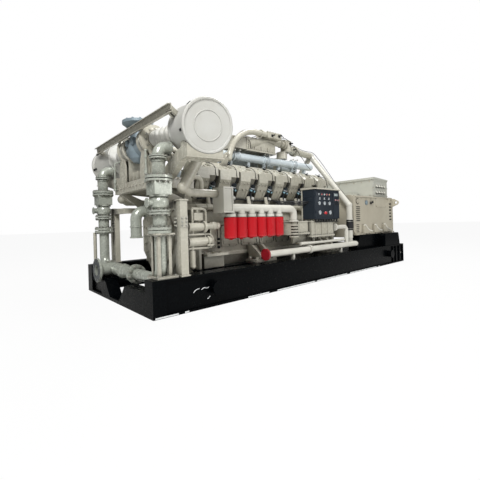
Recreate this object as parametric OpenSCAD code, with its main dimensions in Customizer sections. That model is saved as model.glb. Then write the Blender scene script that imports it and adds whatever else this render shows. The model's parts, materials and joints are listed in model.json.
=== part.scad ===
// Gas engine generator set: V16 turbocharged engine and alternator on one skid base.
// Millimetres. X runs along the set from the engine front (low X) to the alternator (high X).
// Low Y is the near side with the filters and the panel. Z is up.
// Origin: middle of the skid's footprint, on the floor.

/* [Base] */
// length of the skid base
base_l = 5570; // [5540:5:5600]
// width of the skid base
base_w = 2010; // [1990:5:2030]
// height of the skid base
base_h = 360; // [350:1:370]
// width of each side rail
rail_w = 170; // [150:5:172]
// plate thickness of the rails' flanges
flange_t = 22; // [14:1:30]

/* [Engine] */
// distance from one cylinder to the next
cyl_pitch = 346; // [338:1:348]
// height of the crankshaft's line
crank_z = 820; // [812:1:826]
// gap between neighbouring heads
head_gap = 16; // [8:1:24]
// height of each rocker cover
cover_h = 186; // [176:1:190]
// diameter of the exhaust manifold
manifold_d = 124; // [112:1:126]

/* [Turbo end] */
// diameter of each air filter drum
drum_d = 494; // [480:2:502]
// length of each air filter drum
drum_l = 500; // [488:2:510]
// how far each drum is turned towards the front
drum_splay = 11; // [9:1:13]
// how far each drum's outer end hangs lower
drum_pitch = 9.5; // [8:0.5:10.5]
// diameter of the exhaust outlet's flange
outlet_flange_d = 370; // [340:2:400]
// bore of the exhaust outlet
outlet_bore = 150; // [120:2:160]
// diameter of the gas risers
riser_d = 124; // [110:1:130]
// bore of the open flange at the front
inlet_bore = 130; // [110:2:140]

/* [Near side] */
// diameter of each oil filter
filter_d = 152; // [130:1:156]
// height of each oil filter
filter_h = 250; // [225:1:262]
// distance from one oil filter to the next
filter_pitch = 163; // [160:1:165]
// width of the control panel
panel_w = 660; // [600:5:680]
// height of the control panel
panel_h = 445; // [420:1:460]

/* [Alternator] */
// length of the alternator's housing
alt_l = 1540; // [1500:5:1560]
// width of the alternator's housing
alt_w = 1640; // [1600:5:1660]
// height of the alternator's housing
alt_h = 720; // [700:1:735]
// height of the terminal box above the housing
tbox_h = 370; // [340:1:390]

/* [Hidden] */
x_front = -base_l / 2;
x_rear = base_l / 2;
y_side = base_w / 2;
y_in = y_side - rail_w;
deck_z = base_h;
bearer_y1 = y_in - 135;
bearer_y0 = bearer_y1 - 140;
// engine block and the banks on it
cyl_count = 8;
eng_x0 = -2000;
bank_x0 = eng_x0 + 20;
bank_len = cyl_pitch * cyl_count;
eng_x1 = bank_x0 + bank_len + 62;
bank_lean = 30;
deck_d = 500;
head_h = 250;
head_w = 380;
cover_w = 356;
cover_d = deck_d + head_h;
pocket_deep = 80;
coil_seat = 55;
coil_in = 10;
manifold_y = -185;
manifold_z = 1865;
// turbo end
riser_x = -2608;
riser_y = y_side - 165;
gas_z = 330;
gas_r = 140;
post_x = -2430;
post_y = y_side - 50;
turbo_x = -2400;
turbo_z = 1860;
volute_y = 345;
charge_z = 1690;
drum_x = -2266;
drum_y = 880;
drum_z = 1868;
outlet_x = -2440;
shelf_z0 = 1300;
shelf_z1 = 1420;
// near side
filter_x0 = -1754;
filter_y = -900;
filter_top = 948;
header_z = 1055;
panel_x0 = -180;
panel_y0 = -950;
panel_z0 = 905;
cooler_y = -872;
// rear
alt_x0 = 1200;
alt_z0 = 600;
alt_top = alt_z0 + alt_h;
tbox_x0 = 2060;
return_x = eng_x1 + 200;
return_y = 800;

$fn = 96;

// Helpers

module rod_x(x0, x1, y, z, d) {
  translate([x0, y, z]) rotate([0, 90, 0]) cylinder(d = d, h = x1 - x0);
}

module rod_y(y0, y1, x, z, d) {
  translate([x, y1, z]) rotate([90, 0, 0]) cylinder(d = d, h = y1 - y0);
}

module rod_z(z0, z1, x, y, d) {
  translate([x, y, z0]) cylinder(d = d, h = z1 - z0);
}

// straight round bar between two points
module rod(p, q, d) {
  v = q - p;
  l = norm(v);
  translate(p) rotate([0, acos(v[2] / l), atan2(v[1], v[0])]) cylinder(d = d, h = l);
}

// bend in the XY plane from angle a0 over angle a
module bend(r, d, a0, a) {
  rotate([0, 0, a0]) rotate_extrude(angle = a) translate([r, 0]) circle(d = d);
}

module bend_xz(c, r, d, a0, a) {
  translate(c) rotate([90, 0, 0]) bend(r, d, a0, a);
}

module bend_yz(c, r, d, a0, a) {
  translate(c) rotate([90, 0, 90]) bend(r, d, a0, a);
}

module box(x0, x1, y0, y1, z0, z1) {
  translate([x0, y0, z0]) cube([x1 - x0, y1 - y0, z1 - z0]);
}

// profile in the YZ plane, drawn along X
module along_x(x0, x1, pts) {
  translate([x0, 0, 0]) rotate([90, 0, 90]) linear_extrude(height = x1 - x0) polygon(pts);
}

// profile in the XZ plane, drawn along Y
module along_y(y0, y1, pts) {
  translate([0, y1, 0]) rotate([90, 0, 0]) linear_extrude(height = y1 - y0) polygon(pts);
}

module both_sides() {
  children();
  mirror([0, 1, 0]) children();
}

// a bank's own frame: X along the engine, Z along the cylinders
module near_bank() {
  translate([0, 0, crank_z]) rotate([bank_lean, 0, 0]) children();
}

module bank_solid() {
  near_bank() translate([bank_x0 - 10, -head_w / 2, 0]) cube([bank_len + 20, head_w, cover_d + 18]);
}

// Base

module rail() {
  web_in = 24;
  web_t = 26;
  difference() {
    box(x_front, x_rear, -y_side, -y_in, 0, base_h);
    box(x_front + 140, x_rear - 190, -y_side - 1, -y_side + web_in, flange_t, base_h - flange_t);
    box(x_rear - 165, x_rear - 22, -y_side - 1, -y_side + web_in, flange_t, base_h - flange_t);
    box(x_front + 22, x_rear - 22, -y_side + web_in + web_t, -y_in + 1, flange_t, base_h - flange_t);
    // room for the gas pipe's bend
    mirror([0, 1, 0]) gas_bend(8);
  }
  for (x = [x_rear - 480, x_rear - 350])
    box(x, x + 18, -y_side + 2, -y_side + web_in, flange_t, base_h - flange_t);
  // round lifting stubs
  for (x = [-2060, 2150]) {
    rod_y(-y_side - 40, -y_side + web_in, x, 200, 120);
    rod_y(-y_side - 55, -y_side - 40, x, 200, 150);
  }
}

module base_rail_near() {
  color("#0c0e11") rail();
}

module base_rail_far() {
  color("#0c0e11") mirror([0, 1, 0]) rail();
}

module base_cross_members() {
  color("#0c0e11") {
    beam_h = 230;
    // front beam with a dip for the pipes
    difference() {
      box(x_front, x_front + 150, -y_in, y_in, 0, beam_h);
      along_x(x_front - 1, x_front + 151, [[-150, 40], [150, 40], [320, beam_h + 1], [-320, beam_h + 1]]);
      along_x(x_front - 1, x_front + 30, [[430, 30], [y_in + 1, 30], [y_in + 1, beam_h + 1], [540, beam_h + 1]]);
    }
    difference() {
      box(x_rear - 150, x_rear, -y_in, y_in, 0, base_h);
      box(x_rear - 126, x_rear + 1, -y_in - 1, y_in + 1, flange_t, base_h - flange_t);
    }
    for (x = [-1900, -1280, -670, -60, 540, 1140, 1750])
      box(x, x + 120, -y_in, y_in, 0, beam_h);
  }
}

module engine_bearers() {
  color("#0c0e11") both_sides()
    along_x(-2080, 2600, [
      [-bearer_y1, 230], [-bearer_y0, 230], [-bearer_y0, 250], [-bearer_y0 - 50, 260], [-bearer_y0 - 50, deck_z - 30],
      [-bearer_y0, deck_z - 20], [-bearer_y0, deck_z], [-bearer_y1, deck_z], [-bearer_y1, deck_z - 20],
      [-bearer_y1 + 50, deck_z - 30], [-bearer_y1 + 50, 260], [-bearer_y1, 250]
    ]);
}

module drip_tray() {
  y0 = -y_in;
  color("#14171b") {
    difference() {
      box(-2100, -1420, y0, -bearer_y1, 232, deck_z);
      box(-2085, -1435, y0 + 15, -bearer_y1 - 15, 250, deck_z + 1);
    }
    // folded plate leaning out of the tray
    along_y(-808, -792, [[-1960, 250], [-1945, 250], [-1700, 352], [-1715, 359]]);
    box(-1340, 600, y0, -bearer_y1, 344, deck_z);
    along_x(620, 1050, [[y0, 320], [-bearer_y1, 320], [-bearer_y1, deck_z], [y0, deck_z]]);
  }
}

// Engine

module block_profile() {
  oy = -deck_d * sin(bank_lean) - head_w / 2 * cos(bank_lean);
  oz = crank_z + deck_d * cos(bank_lean) - head_w / 2 * sin(bank_lean);
  iy = -deck_d * sin(bank_lean) + head_w / 2 * cos(bank_lean);
  iz = crank_z + deck_d * cos(bank_lean) + head_w / 2 * sin(bank_lean);
  left = [[-520, 470], [-520, 505], [-500, 520], [-500, 900], [oy, oz], [iy, iz], [-60, 1300]];
  polygon(concat(left, [for (i = [len(left) - 1 : -1 : 0]) [-left[i][0], left[i][1]]]));
}

module engine_block() {
  color("#d9cfbd") {
    translate([eng_x0, 0, 0]) rotate([90, 0, 90]) linear_extrude(height = eng_x1 - eng_x0) block_profile();
    both_sides() {
      // inspection doors with a raised middle
      for (i = [0 : cyl_count - 1]) {
        x = bank_x0 + i * cyl_pitch;
        box(x + 40, x + cyl_pitch - 40, -516, -500, 580, 850);
        box(x + 70, x + cyl_pitch - 70, -522, -516, 610, 820);
      }
      // upper ledge and the ribs on it
      box(eng_x0, eng_x1, -512, -480, 862, 900);
      for (i = [0 : cyl_count])
        along_x(bank_x0 + i * cyl_pitch - 12, bank_x0 + i * cyl_pitch + 12, [[-512, 600], [-500, 600], [-500, 862], [-512, 862]]);
    }
  }
}

module oil_sump() {
  color("#d4cab8") difference() {
    along_x(eng_x0 + 60, eng_x1 - 60, [[-300, 245], [-360, 290], [-480, 470], [480, 470], [360, 290], [300, 245]]);
    for (x = [-1280, -60]) box(x + 200, x + 420, -200, 200, 244, 262);
  }
}

module foot(x) {
  // base plate on the bearer, two upright ribs and a sloping web
  box(x - 70, x + 290, -790, -bearer_y0, deck_z, deck_z + 28);
  along_x(x + 20, x + 200, [[-540, deck_z + 28], [-700, deck_z + 28], [-520, 560], [-500, 560], [-500, 520], [-520, 505], [-520, 470], [-540, 470]]);
  for (dx = [0, 180])
    along_x(x + dx, x + dx + 40, [[-540, deck_z + 28], [-780, deck_z + 28], [-780, 440], [-600, 578], [-500, 578], [-500, 520], [-520, 505], [-520, 470], [-540, 470]]);
}

module engine_feet() {
  color("#d4cab8") both_sides() {
    difference() {
      for (x = [-1150, 420]) foot(x);
      for (x = [-1150, 420]) for (dx = [-40, 260]) rod_z(deck_z - 1, deck_z + 60, x + dx, -750, 34);
    }
    // low front foot with a ledge
    box(-1990, -1680, -760, -520, 500, 530);
    box(-1980, -1690, -bearer_y1 + 20, -bearer_y0 - 40, deck_z, 500);
    box(-1980, -1690, -600, -520, 470, 500);
  }
}

module front_disc() {
  translate([-2190, 0, 740]) rotate([0, 90, 0]) rotate([0, 0, 22.5]) cylinder(d = 1080, h = 90, $fn = 8);
  rod_x(-2220, -2185, 0, 740, 760);
}

module front_cover() {
  color("#d9cfbd") {
    along_x(-2110, eng_x0, [[-360, 470], [-480, 590], [-480, 1200], [480, 1200], [480, 590], [360, 470]]);
    // eight-sided plate and the round hub
    front_disc();
    rod_x(-2270, -2215, 0, 740, 330);
    rod_x(-2290, -2270, 0, 740, 150);
    for (y = [-330, 330]) rod_x(-2215, -2090, y, 1110, 150);
  }
}

module flywheel_housing() {
  color("#d9cfbd") {
    difference() {
      along_x(eng_x1, eng_x1 + 60, [[-560, 500], [-560, 960], [-420, 1130], [420, 1130], [560, 960], [560, 500], [520, 470], [-520, 470]]);
      for (s = [-1, 1]) {
        rod_x(eng_x1 - 1, eng_x1 + 61, s * 500, 560, 56);
        rod_x(eng_x1 + 20, eng_x1 + 61, s * 500, 720, 40);
      }
    }
    rod_x(eng_x1 + 60, eng_x1 + 150, 0, 840, 800);
    rod_x(eng_x1 + 150, alt_x0 - 60, 0, 840, 940);
    rod_x(alt_x0 - 60, alt_x0 - 40, 0, 840, 980);
  }
}

// pocket at the rear end of each head's outer face, where the coil sits
module pocket(i) {
  w = cyl_pitch - head_gap;
  translate([bank_x0 + i * cyl_pitch + head_gap / 2 + w * 0.56, -head_w / 2 - 1, deck_d + 46])
    cube([w, pocket_deep + 1, head_h + 58]);
}

module head(i) {
  x = bank_x0 + i * cyl_pitch + head_gap / 2;
  w = cyl_pitch - head_gap;
  difference() {
    translate([x, -head_w / 2, deck_d]) cube([w, head_w, head_h]);
    pocket(i);
    // sunk field in the upright panel beside the pocket
    translate([x + w * 0.1, -head_w / 2 - 1, deck_d + 60]) cube([w * 0.34, 7, head_h - 100]);
  }
  translate([x + w * 0.78, -head_w / 2 + pocket_deep + 1, deck_d + 96]) rotate([90, 0, 0]) cylinder(d = 76, h = pocket_deep + 1 - coil_seat);
  translate([x + w * 0.27, -head_w / 2 + 6, deck_d + 200]) rotate([90, 0, 0]) cylinder(d = 34, h = 18);
}

module cylinder_heads() {
  color("#d9cfbd") both_sides() near_bank() for (i = [0 : cyl_count - 1]) head(i);
}

module rocker_cover(i) {
  x = bank_x0 + i * cyl_pitch + head_gap / 2;
  w = cyl_pitch - head_gap;
  a = cover_w / 2;
  difference() {
    union() {
      translate([x, -head_w / 2, cover_d]) cube([w, head_w, 18]);
      translate([x + 8, 0, cover_d + 18]) rotate([90, 0, 90]) linear_extrude(height = w - 16)
        polygon([[-a, 0], [-a, 52], [-a + 66, cover_h - 18], [a - 50, cover_h - 18], [a, cover_h - 70], [a, 0]]);
    }
    pocket(i);
    // slanted front shoulder
    translate([x, 0, cover_d + cover_h - 26]) rotate([0, -34, 0]) translate([-120, -a - 1, 0]) cube([300, cover_w + 2, 90]);
  }
  translate([x + w * 0.62, -30, cover_d + cover_h]) cylinder(d = 72, h = 12);
  translate([x + w * 0.62, -30, cover_d + cover_h + 12]) cylinder(d = 40, h = 12, $fn = 6);
}

module rocker_covers() {
  color("#ddd4c3") both_sides() near_bank() for (i = [0 : cyl_count - 1]) rocker_cover(i);
}

module coil(i) {
  x = bank_x0 + i * cyl_pitch + 265;
  translate([x, -head_w / 2 + coil_in, deck_d + 96]) {
    rotate([-90, 0, 0]) cylinder(d = 52, h = coil_seat - coil_in);
    cylinder(d = 40, h = 84);
    translate([0, 0, 84]) cylinder(d = 66, h = 44);
    translate([0, 0, 128]) cylinder(d = 54, h = 14);
    translate([0, 0, 142]) cylinder(d = 70, h = 26);
    translate([0, 0, 168]) cylinder(d = 46, h = 12);
    translate([0, -28, 106]) rotate([90, 0, 0]) cylinder(d = 34, h = 30);
  }
}

module ignition_coils() {
  color("#22262b") both_sides() near_bank() for (i = [0 : cyl_count - 1]) coil(i);
}

module manifold() {
  y = manifold_y;
  z = manifold_z;
  x0 = -2262;
  x1 = bank_x0 + bank_len - 30;
  rod_x(x0, x1, y, z, manifold_d);
  translate([x1, y, z]) sphere(d = manifold_d);
  // clamp bands in pairs with a bellows between
  for (x = [-1720, -1050, -420, 274]) {
    for (s = [-1, 1]) {
      rod_x(x + s * 52 - 7, x + s * 52 + 7, y, z, manifold_d + 34);
      rod_x(x + s * 36 - 6, x + s * 36 + 6, y, z, manifold_d + 18);
    }
    for (dx = [-20, 0, 20]) rod_x(x + dx - 5, x + dx + 5, y, z, manifold_d + 14);
  }
  for (i = [0 : cyl_count - 1]) {
    xc = bank_x0 + (i + 0.5) * cyl_pitch;
    rod([xc, -120, 1500], [xc, -172, z - 20], 64);
    rod([xc, -150, 1650], [xc, -153, 1664], 92);
  }
}

module exhaust_manifolds() {
  color("#aebfc6") both_sides() difference() {
    manifold();
    bank_solid();
    turbocharger();
  }
}

module coolant_rails() {
  ry = -506;
  rz = 1090;
  color("#ddd4c3") both_sides() difference() {
    union() {
      rod_x(bank_x0, bank_x0 + bank_len - 40, ry, rz, 76);
      for (i = [0 : cyl_count - 1]) {
        xc = bank_x0 + (i + 0.62) * cyl_pitch;
        rod([xc, ry, rz], [xc, ry + 36, rz + 150], 58);
        rod_x(xc - 58, xc - 44, ry, rz, 96);
        rod_x(xc + 44, xc + 58, ry, rz, 96);
        rod_y(-490, -430, xc, rz, 60);
      }
    }
    bank_solid();
    translate([eng_x0, 0, 0]) rotate([90, 0, 90]) linear_extrude(height = eng_x1 - eng_x0) block_profile();
  }
}

module lifting_eyes() {
  // eye plates that stand on the second rocker cover of each bank
  x = -1453;
  eye_d = cover_d + 316;
  color("#d4cab8") both_sides() near_bank() {
    translate([x - 60, 30, cover_d + cover_h]) cube([120, 44, 12]);
    translate([x, 62, 0]) rotate([90, 0, 0]) linear_extrude(height = 22) difference() {
      union() {
        translate([-45, cover_d + cover_h + 12]) square([90, eye_d - cover_d - cover_h - 12]);
        translate([0, eye_d]) circle(d = 90);
      }
      translate([0, eye_d]) circle(d = 50);
    }
  }
}

// Top

module valve_box() {
  box(-500, -180, -346, -90, 2196, 2290);
}

module charge_air_housing() {
  z0 = 1980;
  color("#d9cfbd") {
    // plain rear duct, bolted flange, then the tapering housing
    box(-1137, -870, -252, 252, z0, 2150);
    difference() {
      box(-870, -806, -261, 261, z0 - 12, 2176);
      box(-846, -830, -262, -244, z0 + 12, 2140);
      box(-846, -830, 244, 262, z0 + 12, 2140);
    }
    difference() {
      along_y(-246, 246, [[-806, z0], [-230, z0], [-230, 2130], [-370, 2150], [-580, 2176], [-806, 2176]]);
      // slanted shoulders along both top edges
      both_sides() translate([-900, -246, z0 + 110]) rotate([40, 0, 0]) translate([0, -200, 0]) cube([900, 200, 300]);
    }
    box(-806, -230, -261, 261, z0 - 12, z0 + 12);
    for (x = [-1090, -330]) box(x, x + 90, -60, 60, 1300, z0);
    // round upper chamber with a cone that grows out of the slanted face
    rod_x(-420, 20, -195, 2185, 104);
    translate([-800, -178, 2075]) rotate([0, 74.7, -2.5]) cylinder(d1 = 206, d2 = 108, h = 405);
    rod_x(-60, -40, -195, 2185, 128);
    // junction box that takes the arched pipe
    valve_box();
    box(-440, -200, -150, 150, 2100, 2216);
    for (x = [-700, -560, -420]) box(x, x + 14, -257, 257, z0, z0 + 78);
  }
}

module crossover_pipe() {
  d = 86;
  y = -300;
  r = 540;
  arch_x = -720;
  arch_z = 1706;
  low_z = 1790;
  // the arch comes down to the level run
  turn = acos((low_z - arch_z) / r);
  arch_end = arch_x - r * sin(turn);
  color("#ddd4c3") difference() {
    union() {
      rod_x(turbo_x + 140, arch_end, y, low_z, d);
      translate([arch_end, y, low_z]) sphere(d = d + 6);
      bend_xz([arch_x, y, arch_z], r, d, 90, turn);
      rod_x(arch_x, -480, y, arch_z + r, d);
      rod_x(-620, -594, y, arch_z + r, d + 30);
    }
    // seated on the compressor volute
    rod_y(-400, -200, turbo_x, turbo_z, 368);
    valve_box();
  }
}

module mixer_pipe() {
  z = 2140;
  color("#d9cfbd") {
    // flange, round mixer body with a bowl below it, and its top neck
    rod_x(20, 44, -195, 2185, 156);
    rod_x(44, 60, -195, 2185, 120);
    rod_z(2080, 2250, 140, -160, 190);
    rod_z(2068, 2080, 140, -160, 220);
    rod_z(2250, 2264, 140, -160, 150);
    rod_z(1950, 2068, 70, -120, 180);
    box(30, 110, -50, 50, 1300, 1990);
    rod_z(z - 40, 2270, 250, -120, 84);
    // pipe to the rear with its flange pair
    rod([180, -120, z + 6], [420, -84, z + 4], 124);
    rod([420, -84, z + 4], [444, -80, z + 4], 180);
    rod([452, -79, z + 4], [476, -76, z + 4], 180);
    rod([444, -80, z + 4], [return_x - 46, -6, z], 112);
  }
}

module return_pipes() {
  z_top = 2140;
  color("#d9cfbd") difference() {
    union() {
      translate([return_x, 0, z_top]) sphere(d = 128);
      both_sides() {
        rod([return_x, 0, z_top], [return_x, -return_y, 1140], 98);
        translate([return_x, -return_y, 1140]) sphere(d = 108);
        rod_z(900, 1140, return_x, -return_y, 98);
        rod_z(880, 900, return_x, -return_y, 112);
        rod_z(560, 700, return_x, -return_y, 98);
      }
      rod_y(200, return_y, return_x, 620, 80);
    }
    rod_x(eng_x1 + 60, alt_x0 + 10, 0, 840, 980);
    box(return_x - 200, return_x - 38, -200, 200, 2040, 2240);
  }
}

module pipe_couplings() {
  color("#101214") both_sides() {
    rod_z(700, 880, return_x, -return_y, 112);
    for (z = [716, 842]) rod_z(z, z + 20, return_x, -return_y, 120);
  }
}

// Turbo end

module turbocharger() {
  // turbine, centre housing, compressor volute and mouth, turned about a line across the set
  translate([turbo_x, 0, turbo_z]) rotate([90, 0, 0]) rotate_extrude() polygon([
    [0, 200], [150, 200], [165, 212], [165, 250], [152, 262], [84, 262], [84, 288], [146, 288], [152, 294],
    [152, 306], [172, 312], [184, 336], [174, 368], [140, 378], [112, 392], [112, 408], [96, 408], [96, 420], [0, 420]
  ]);
  // volute outlet
  rod_x(turbo_x, -2190, -volute_y, charge_z, 96);
  rod_x(-2214, -2190, -volute_y, charge_z, 130);
  // legs that stand on the shelf
  for (y = [-240, -372]) box(turbo_x - 80, turbo_x + 80, y, y + 26, shelf_z1, turbo_z - 110);
  // cast bracket plate at the front
  along_x(turbo_x - 126, turbo_x - 106, [[-440, shelf_z1], [-215, shelf_z1], [-228, 1640], [-270, 1745], [-365, 1745], [-415, 1640]]);
}

module turbochargers() {
  color("#cfc6b5") both_sides() turbocharger();
}

module intake_bellows() {
  // slanted from the compressor's mouth to the middle of the drum's inner end
  mouth_y = 420;
  v = [drum_x - turbo_x, mouth_y - drum_y, drum_z - turbo_z];
  run = norm(v);
  n = 5;
  step = (run - 100) / n;
  color("#ddd6c8") both_sides() difference() {
    translate([turbo_x, -mouth_y, turbo_z]) rotate([0, acos(v[2] / run), atan2(v[1], v[0])]) rotate_extrude()
      polygon(concat([[0, -60], [98, -60], [98, 40]],
        [for (i = [0 : n - 1]) for (q = [[92, 0.1], [112, 0.35], [112, 0.65], [92, 0.9]]) [q[0], 40 + (i + q[1]) * step]],
        [[100, run - 50], [100, run + 60], [0, run + 60]]));
    box(-3000, -1500, -mouth_y, mouth_y, 1000, 2500);
    drum_line() cylinder(d = drum_d, h = 300);
  }
}

module exhaust_outlet() {
  color("#7c8f9c") difference() {
    union() {
      // waist of the collector, lying between the turbines
      translate([turbo_x, 0, turbo_z - 30]) rotate([90, 0, 0]) rotate_extrude()
        polygon([[0, -200], [120, -200], [130, -150], [142, -60], [142, 60], [130, 150], [120, 200], [0, 200]]);
      // upright body, neck and dished flange
      translate([outlet_x, 0, 0]) rotate_extrude()
        polygon([[0, 1640], [66, 1654], [104, 1700], [124, 1780], [120, 1870], [98, 1960], [92, 2010], [104, 2050], [160, 2100], [outlet_flange_d / 2, 2118], [outlet_flange_d / 2, 2150], [0, 2150]]);
      // square pads on its front
      for (y = [-110, 60]) box(outlet_x - 118, outlet_x, y, y + 50, 1850, 1930);
    }
    rod_z(1880, 2151, outlet_x, 0, outlet_bore);
  }
}

module turbo_shelf() {
  color("#d9cfbd") {
    along_x(-2540, -2520, [[-560, shelf_z0], [-560, shelf_z1], [560, shelf_z1], [560, shelf_z0]]);
    box(-2520, -2010, -560, 560, shelf_z1 - 20, shelf_z1);
    box(-2520, -2450, -560, 560, shelf_z0, shelf_z0 + 16);
    for (y = [-550, -280, 0, 260, 530])
      along_y(y, y + 20, [[-2520, shelf_z0 + 16], [-2010, shelf_z0 - 20], [-2010, shelf_z1 - 20], [-2520, shelf_z1 - 20]]);
    box(-2100, -2010, -480, 480, 1200, shelf_z1 - 20);
    // slanted stays under both ends
    both_sides() along_y(-470, -450, [[-2500, shelf_z0], [-2110, 1010], [-2110, 1186], [-2380, shelf_z0]]);
    // upright ribs below the outlet
    for (y = [-170, -60, 60, 170]) box(-2500, -2380, y - 8, y + 8, shelf_z1, 1540);
  }
}

module oil_lines() {
  x = -2570;
  color("#b9bbb0") both_sides() difference() {
    union() {
      rod_z(1340, 1700, x, -470, 22);
      rod([x, -470, 1700], [turbo_x - 90, -350, 1740], 22);
      translate([x, -470, 1700]) sphere(d = 26);
      rod_z(1440, 1500, x, -470, 38);
      rod_z(1346, 1372, x, -470, 44);
      rod_x(x, -2540, -470, 1356, 22);
      rod_z(1616, 1650, x, -470, 34);
    }
    turbocharger();
  }
}

// frame of one drum: local low Y points outwards along the drum
module drum_frame() {
  translate([drum_x, -drum_y, 0]) rotate([0, 0, -drum_splay]) children();
}

// along one drum's own line, from its inner end outwards
module drum_line() {
  drum_frame() translate([0, 0, drum_z]) rotate([90 + drum_pitch, 0, 0]) children();
}

module drum() {
  r = drum_d / 2;
  e = drum_l;
  drum_line() rotate_extrude() polygon([
    [0, 0], [150, 0], [r - 26, 40], [r - 8, 40], [r, 46], [r, 78], [r - 5, 82], [r - 5, e - 58], [r + 4, e - 54],
    [r + 4, e - 40], [r + 10, e - 36], [r + 10, e - 6], [r + 3, e + 2], [r - 12, e + 2], [r - 18, e - 8], [r * 0.585, e - 8],
    [r * 0.575, e - 3], [r * 0.55, e - 3], [r * 0.54, e - 8], [0, e - 8]
  ]);
}

module air_filter_near() {
  color("#ddd6c8") drum();
}

module air_filter_far() {
  color("#ddd6c8") mirror([0, 1, 0]) drum();
}

module filter_saddles() {
  z0 = 1492;
  color("#d9cfbd") both_sides() difference() {
    union() {
      drum_frame() {
        box(-198, 168, -448, -278, z0, 1660);
        box(-206, 176, -456, -270, z0, z0 + 12);
        // arm that carries the saddle back to the shelf
        along_x(-196, -130, [[-278, z0], [-278, 1620], [-60, 1590], [460, shelf_z1 + 40], [460, shelf_z0], [360, shelf_z0]]);
      }
    }
    drum_line() {
      cylinder(d = drum_d + 1, h = 1000, center = true);
      translate([0, 0, drum_l - 66]) cylinder(d = drum_d + 22, h = 200);
    }
    // cut back at the shelf's end
    box(-3000, -1500, -560.3, 800, 1200, 1800);
  }
}

module filter_tie_beam() {
  out = 362;
  half = 1100;
  color("#c6beae") difference() {
    union() {
      // channel with its open side to the front, and the stubs that hold it
      translate([drum_x - 22 - out * cos(34), 0, 1780 + out * sin(34)]) rotate([0, -14, 0]) {
        box(-5, 5, -half, half, -42, 40);
        for (z = [-42, 33]) box(-34, 0, -half, half, z, z + 7);
      }
      translate([drum_x - 22, 0, 1780]) rotate([0, 34, 0])
        both_sides() for (y = [-half + 10, -half + 70]) box(-out - 1, -160, y, y + 30, -22, 22);
    }
    // seated on the drums' plain middle
    both_sides() drum_line() cylinder(d = drum_d - 10, h = 800, center = true);
  }
}

module riser_pipe() {
  y = -riser_y;
  // bottom flange, valve body, box and big bolted flange
  rod_z(800, 826, riser_x, y, 236);
  rod_z(834, 860, riser_x, y, 236);
  rod_z(826, 834, riser_x, y, 150);
  rod_z(860, 985, riser_x, y, 140);
  rod_z(985, 1003, riser_x, y, 214);
  rod_z(1003, 1011, riser_x, y, 150);
  rod_z(1011, 1029, riser_x, y, 214);
  rod_z(1029, 1160, riser_x, y, 150);
  translate([riser_x, y, 1100]) sphere(d = 190);
  rod_x(riser_x - 130, riser_x, y, 1100, 70);
  rod_x(riser_x - 138, riser_x - 130, y, 1100, 96);
  rod_z(1160, 1180, riser_x, y, 190);
  box(riser_x - 92, riser_x + 92, y - 92, y + 92, 1180, 1312);
  rod_z(1312, 1332, riser_x, y, 268);
  rod_z(1332, 1342, riser_x, y, 180);
  rod_z(1342, 1366, riser_x, y, 268);
  // sleeve with bands
  rod_z(1366, 1536, riser_x, y, riser_d);
  for (z = [1372, 1506]) rod_z(z, z + 18, riser_x, y, riser_d + 16);
  rod_z(1536, 1548, riser_x, y, 184);
  rod_z(1548, 1556, riser_x, y, 140);
  rod_z(1556, 1568, riser_x, y, 184);
  // elbow towards the engine, ending in a flange
  bend_xz([riser_x + 90, y, 1568], 90, riser_d, 90, 90);
  rod_x(riser_x + 90, riser_x + 112, y, 1658, riser_d);
  rod_x(riser_x + 112, riser_x + 126, y, 1658, 150);
}

module riser_near() {
  color("#b9bbb0") riser_pipe();
}

module riser_far() {
  color("#b9bbb0") mirror([0, 1, 0]) riser_pipe();
}

module support_column() {
  y = -riser_y;
  half = 74;
  leg = 32;
  color("#cfcab8") {
    // four angle posts close around the pipe, on a foot plate on the rail
    difference() {
      for (sx = [-1, 1]) for (sy = [-1, 1]) translate([riser_x + 4 + sx * half, y - 4 + sy * half, deck_z + 18]) {
        translate([sx > 0 ? -leg : 0, sy > 0 ? -7 : 0, 0]) cube([leg, 7, 782 - deck_z - 18]);
        translate([sx > 0 ? -7 : 0, sy > 0 ? -leg : 0, 0]) cube([7, leg, 782 - deck_z - 18]);
      }
      mirror([0, 1, 0]) gas_bend(8);
    }
    box(riser_x - 100, riser_x + 104, y - 104, y + 96, 782, 800);
    difference() {
      box(riser_x - 110, riser_x + 114, -y_side + 24, y + 90, deck_z, deck_z + 18);
      for (sx = [-1, 1]) for (dy = [-116, 72]) rod_z(deck_z - 1, deck_z + 19, riser_x + sx * 94, y + dy, 20);
      mirror([0, 1, 0]) gas_bend(8);
    }
    // thin post beside the far riser
    rod_z(deck_z, 800, riser_x - 104, riser_y + 66, 44);
    box(riser_x - 132, riser_x - 76, riser_y + 38, riser_y + 94, deck_z, deck_z + 12);
  }
}

module support_posts() {
  color("#d2cab9") both_sides() {
    // post in two halves, with the outer one proud of the inner one
    box(post_x - 35, post_x + 48, -post_y - 35, -post_y + 34, deck_z, 1120);
    box(post_x - 22, post_x + 48, -post_y + 34, -post_y + 98, deck_z, 1120);
    box(post_x - 44, post_x + 62, -post_y - 46, -post_y + 108, deck_z, deck_z + 14);
    box(post_x - 30, post_x + 40, -post_y + 98, -480, 1050, 1120);
    box(post_x + 35, eng_x0, -560, -480, 1050, 1120);
    // cap and bolted plates
    box(post_x - 42, post_x + 60, -post_y - 42, -post_y + 108, 1120, 1134);
    box(post_x - 28, post_x - 22, -post_y + 40, -post_y + 94, 850, 960);
    box(post_x - 35, post_x + 48, -post_y - 41, -post_y - 35, 850, 960);
    // inner side plate on the bearer
    box(-2060, -2030, -bearer_y1, -480, deck_z, 1050);
  }
}

// gas pipe's bend from the level run up into a riser, with room around it
module gas_bend(extra) {
  r = gas_r;
  bend_yz([riser_x, riser_y - r, gas_z + r], r, riser_d + extra, -90, 90);
  rod_z(gas_z + r, gas_z + r + 30, riser_x, riser_y, riser_d + extra);
}

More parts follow.
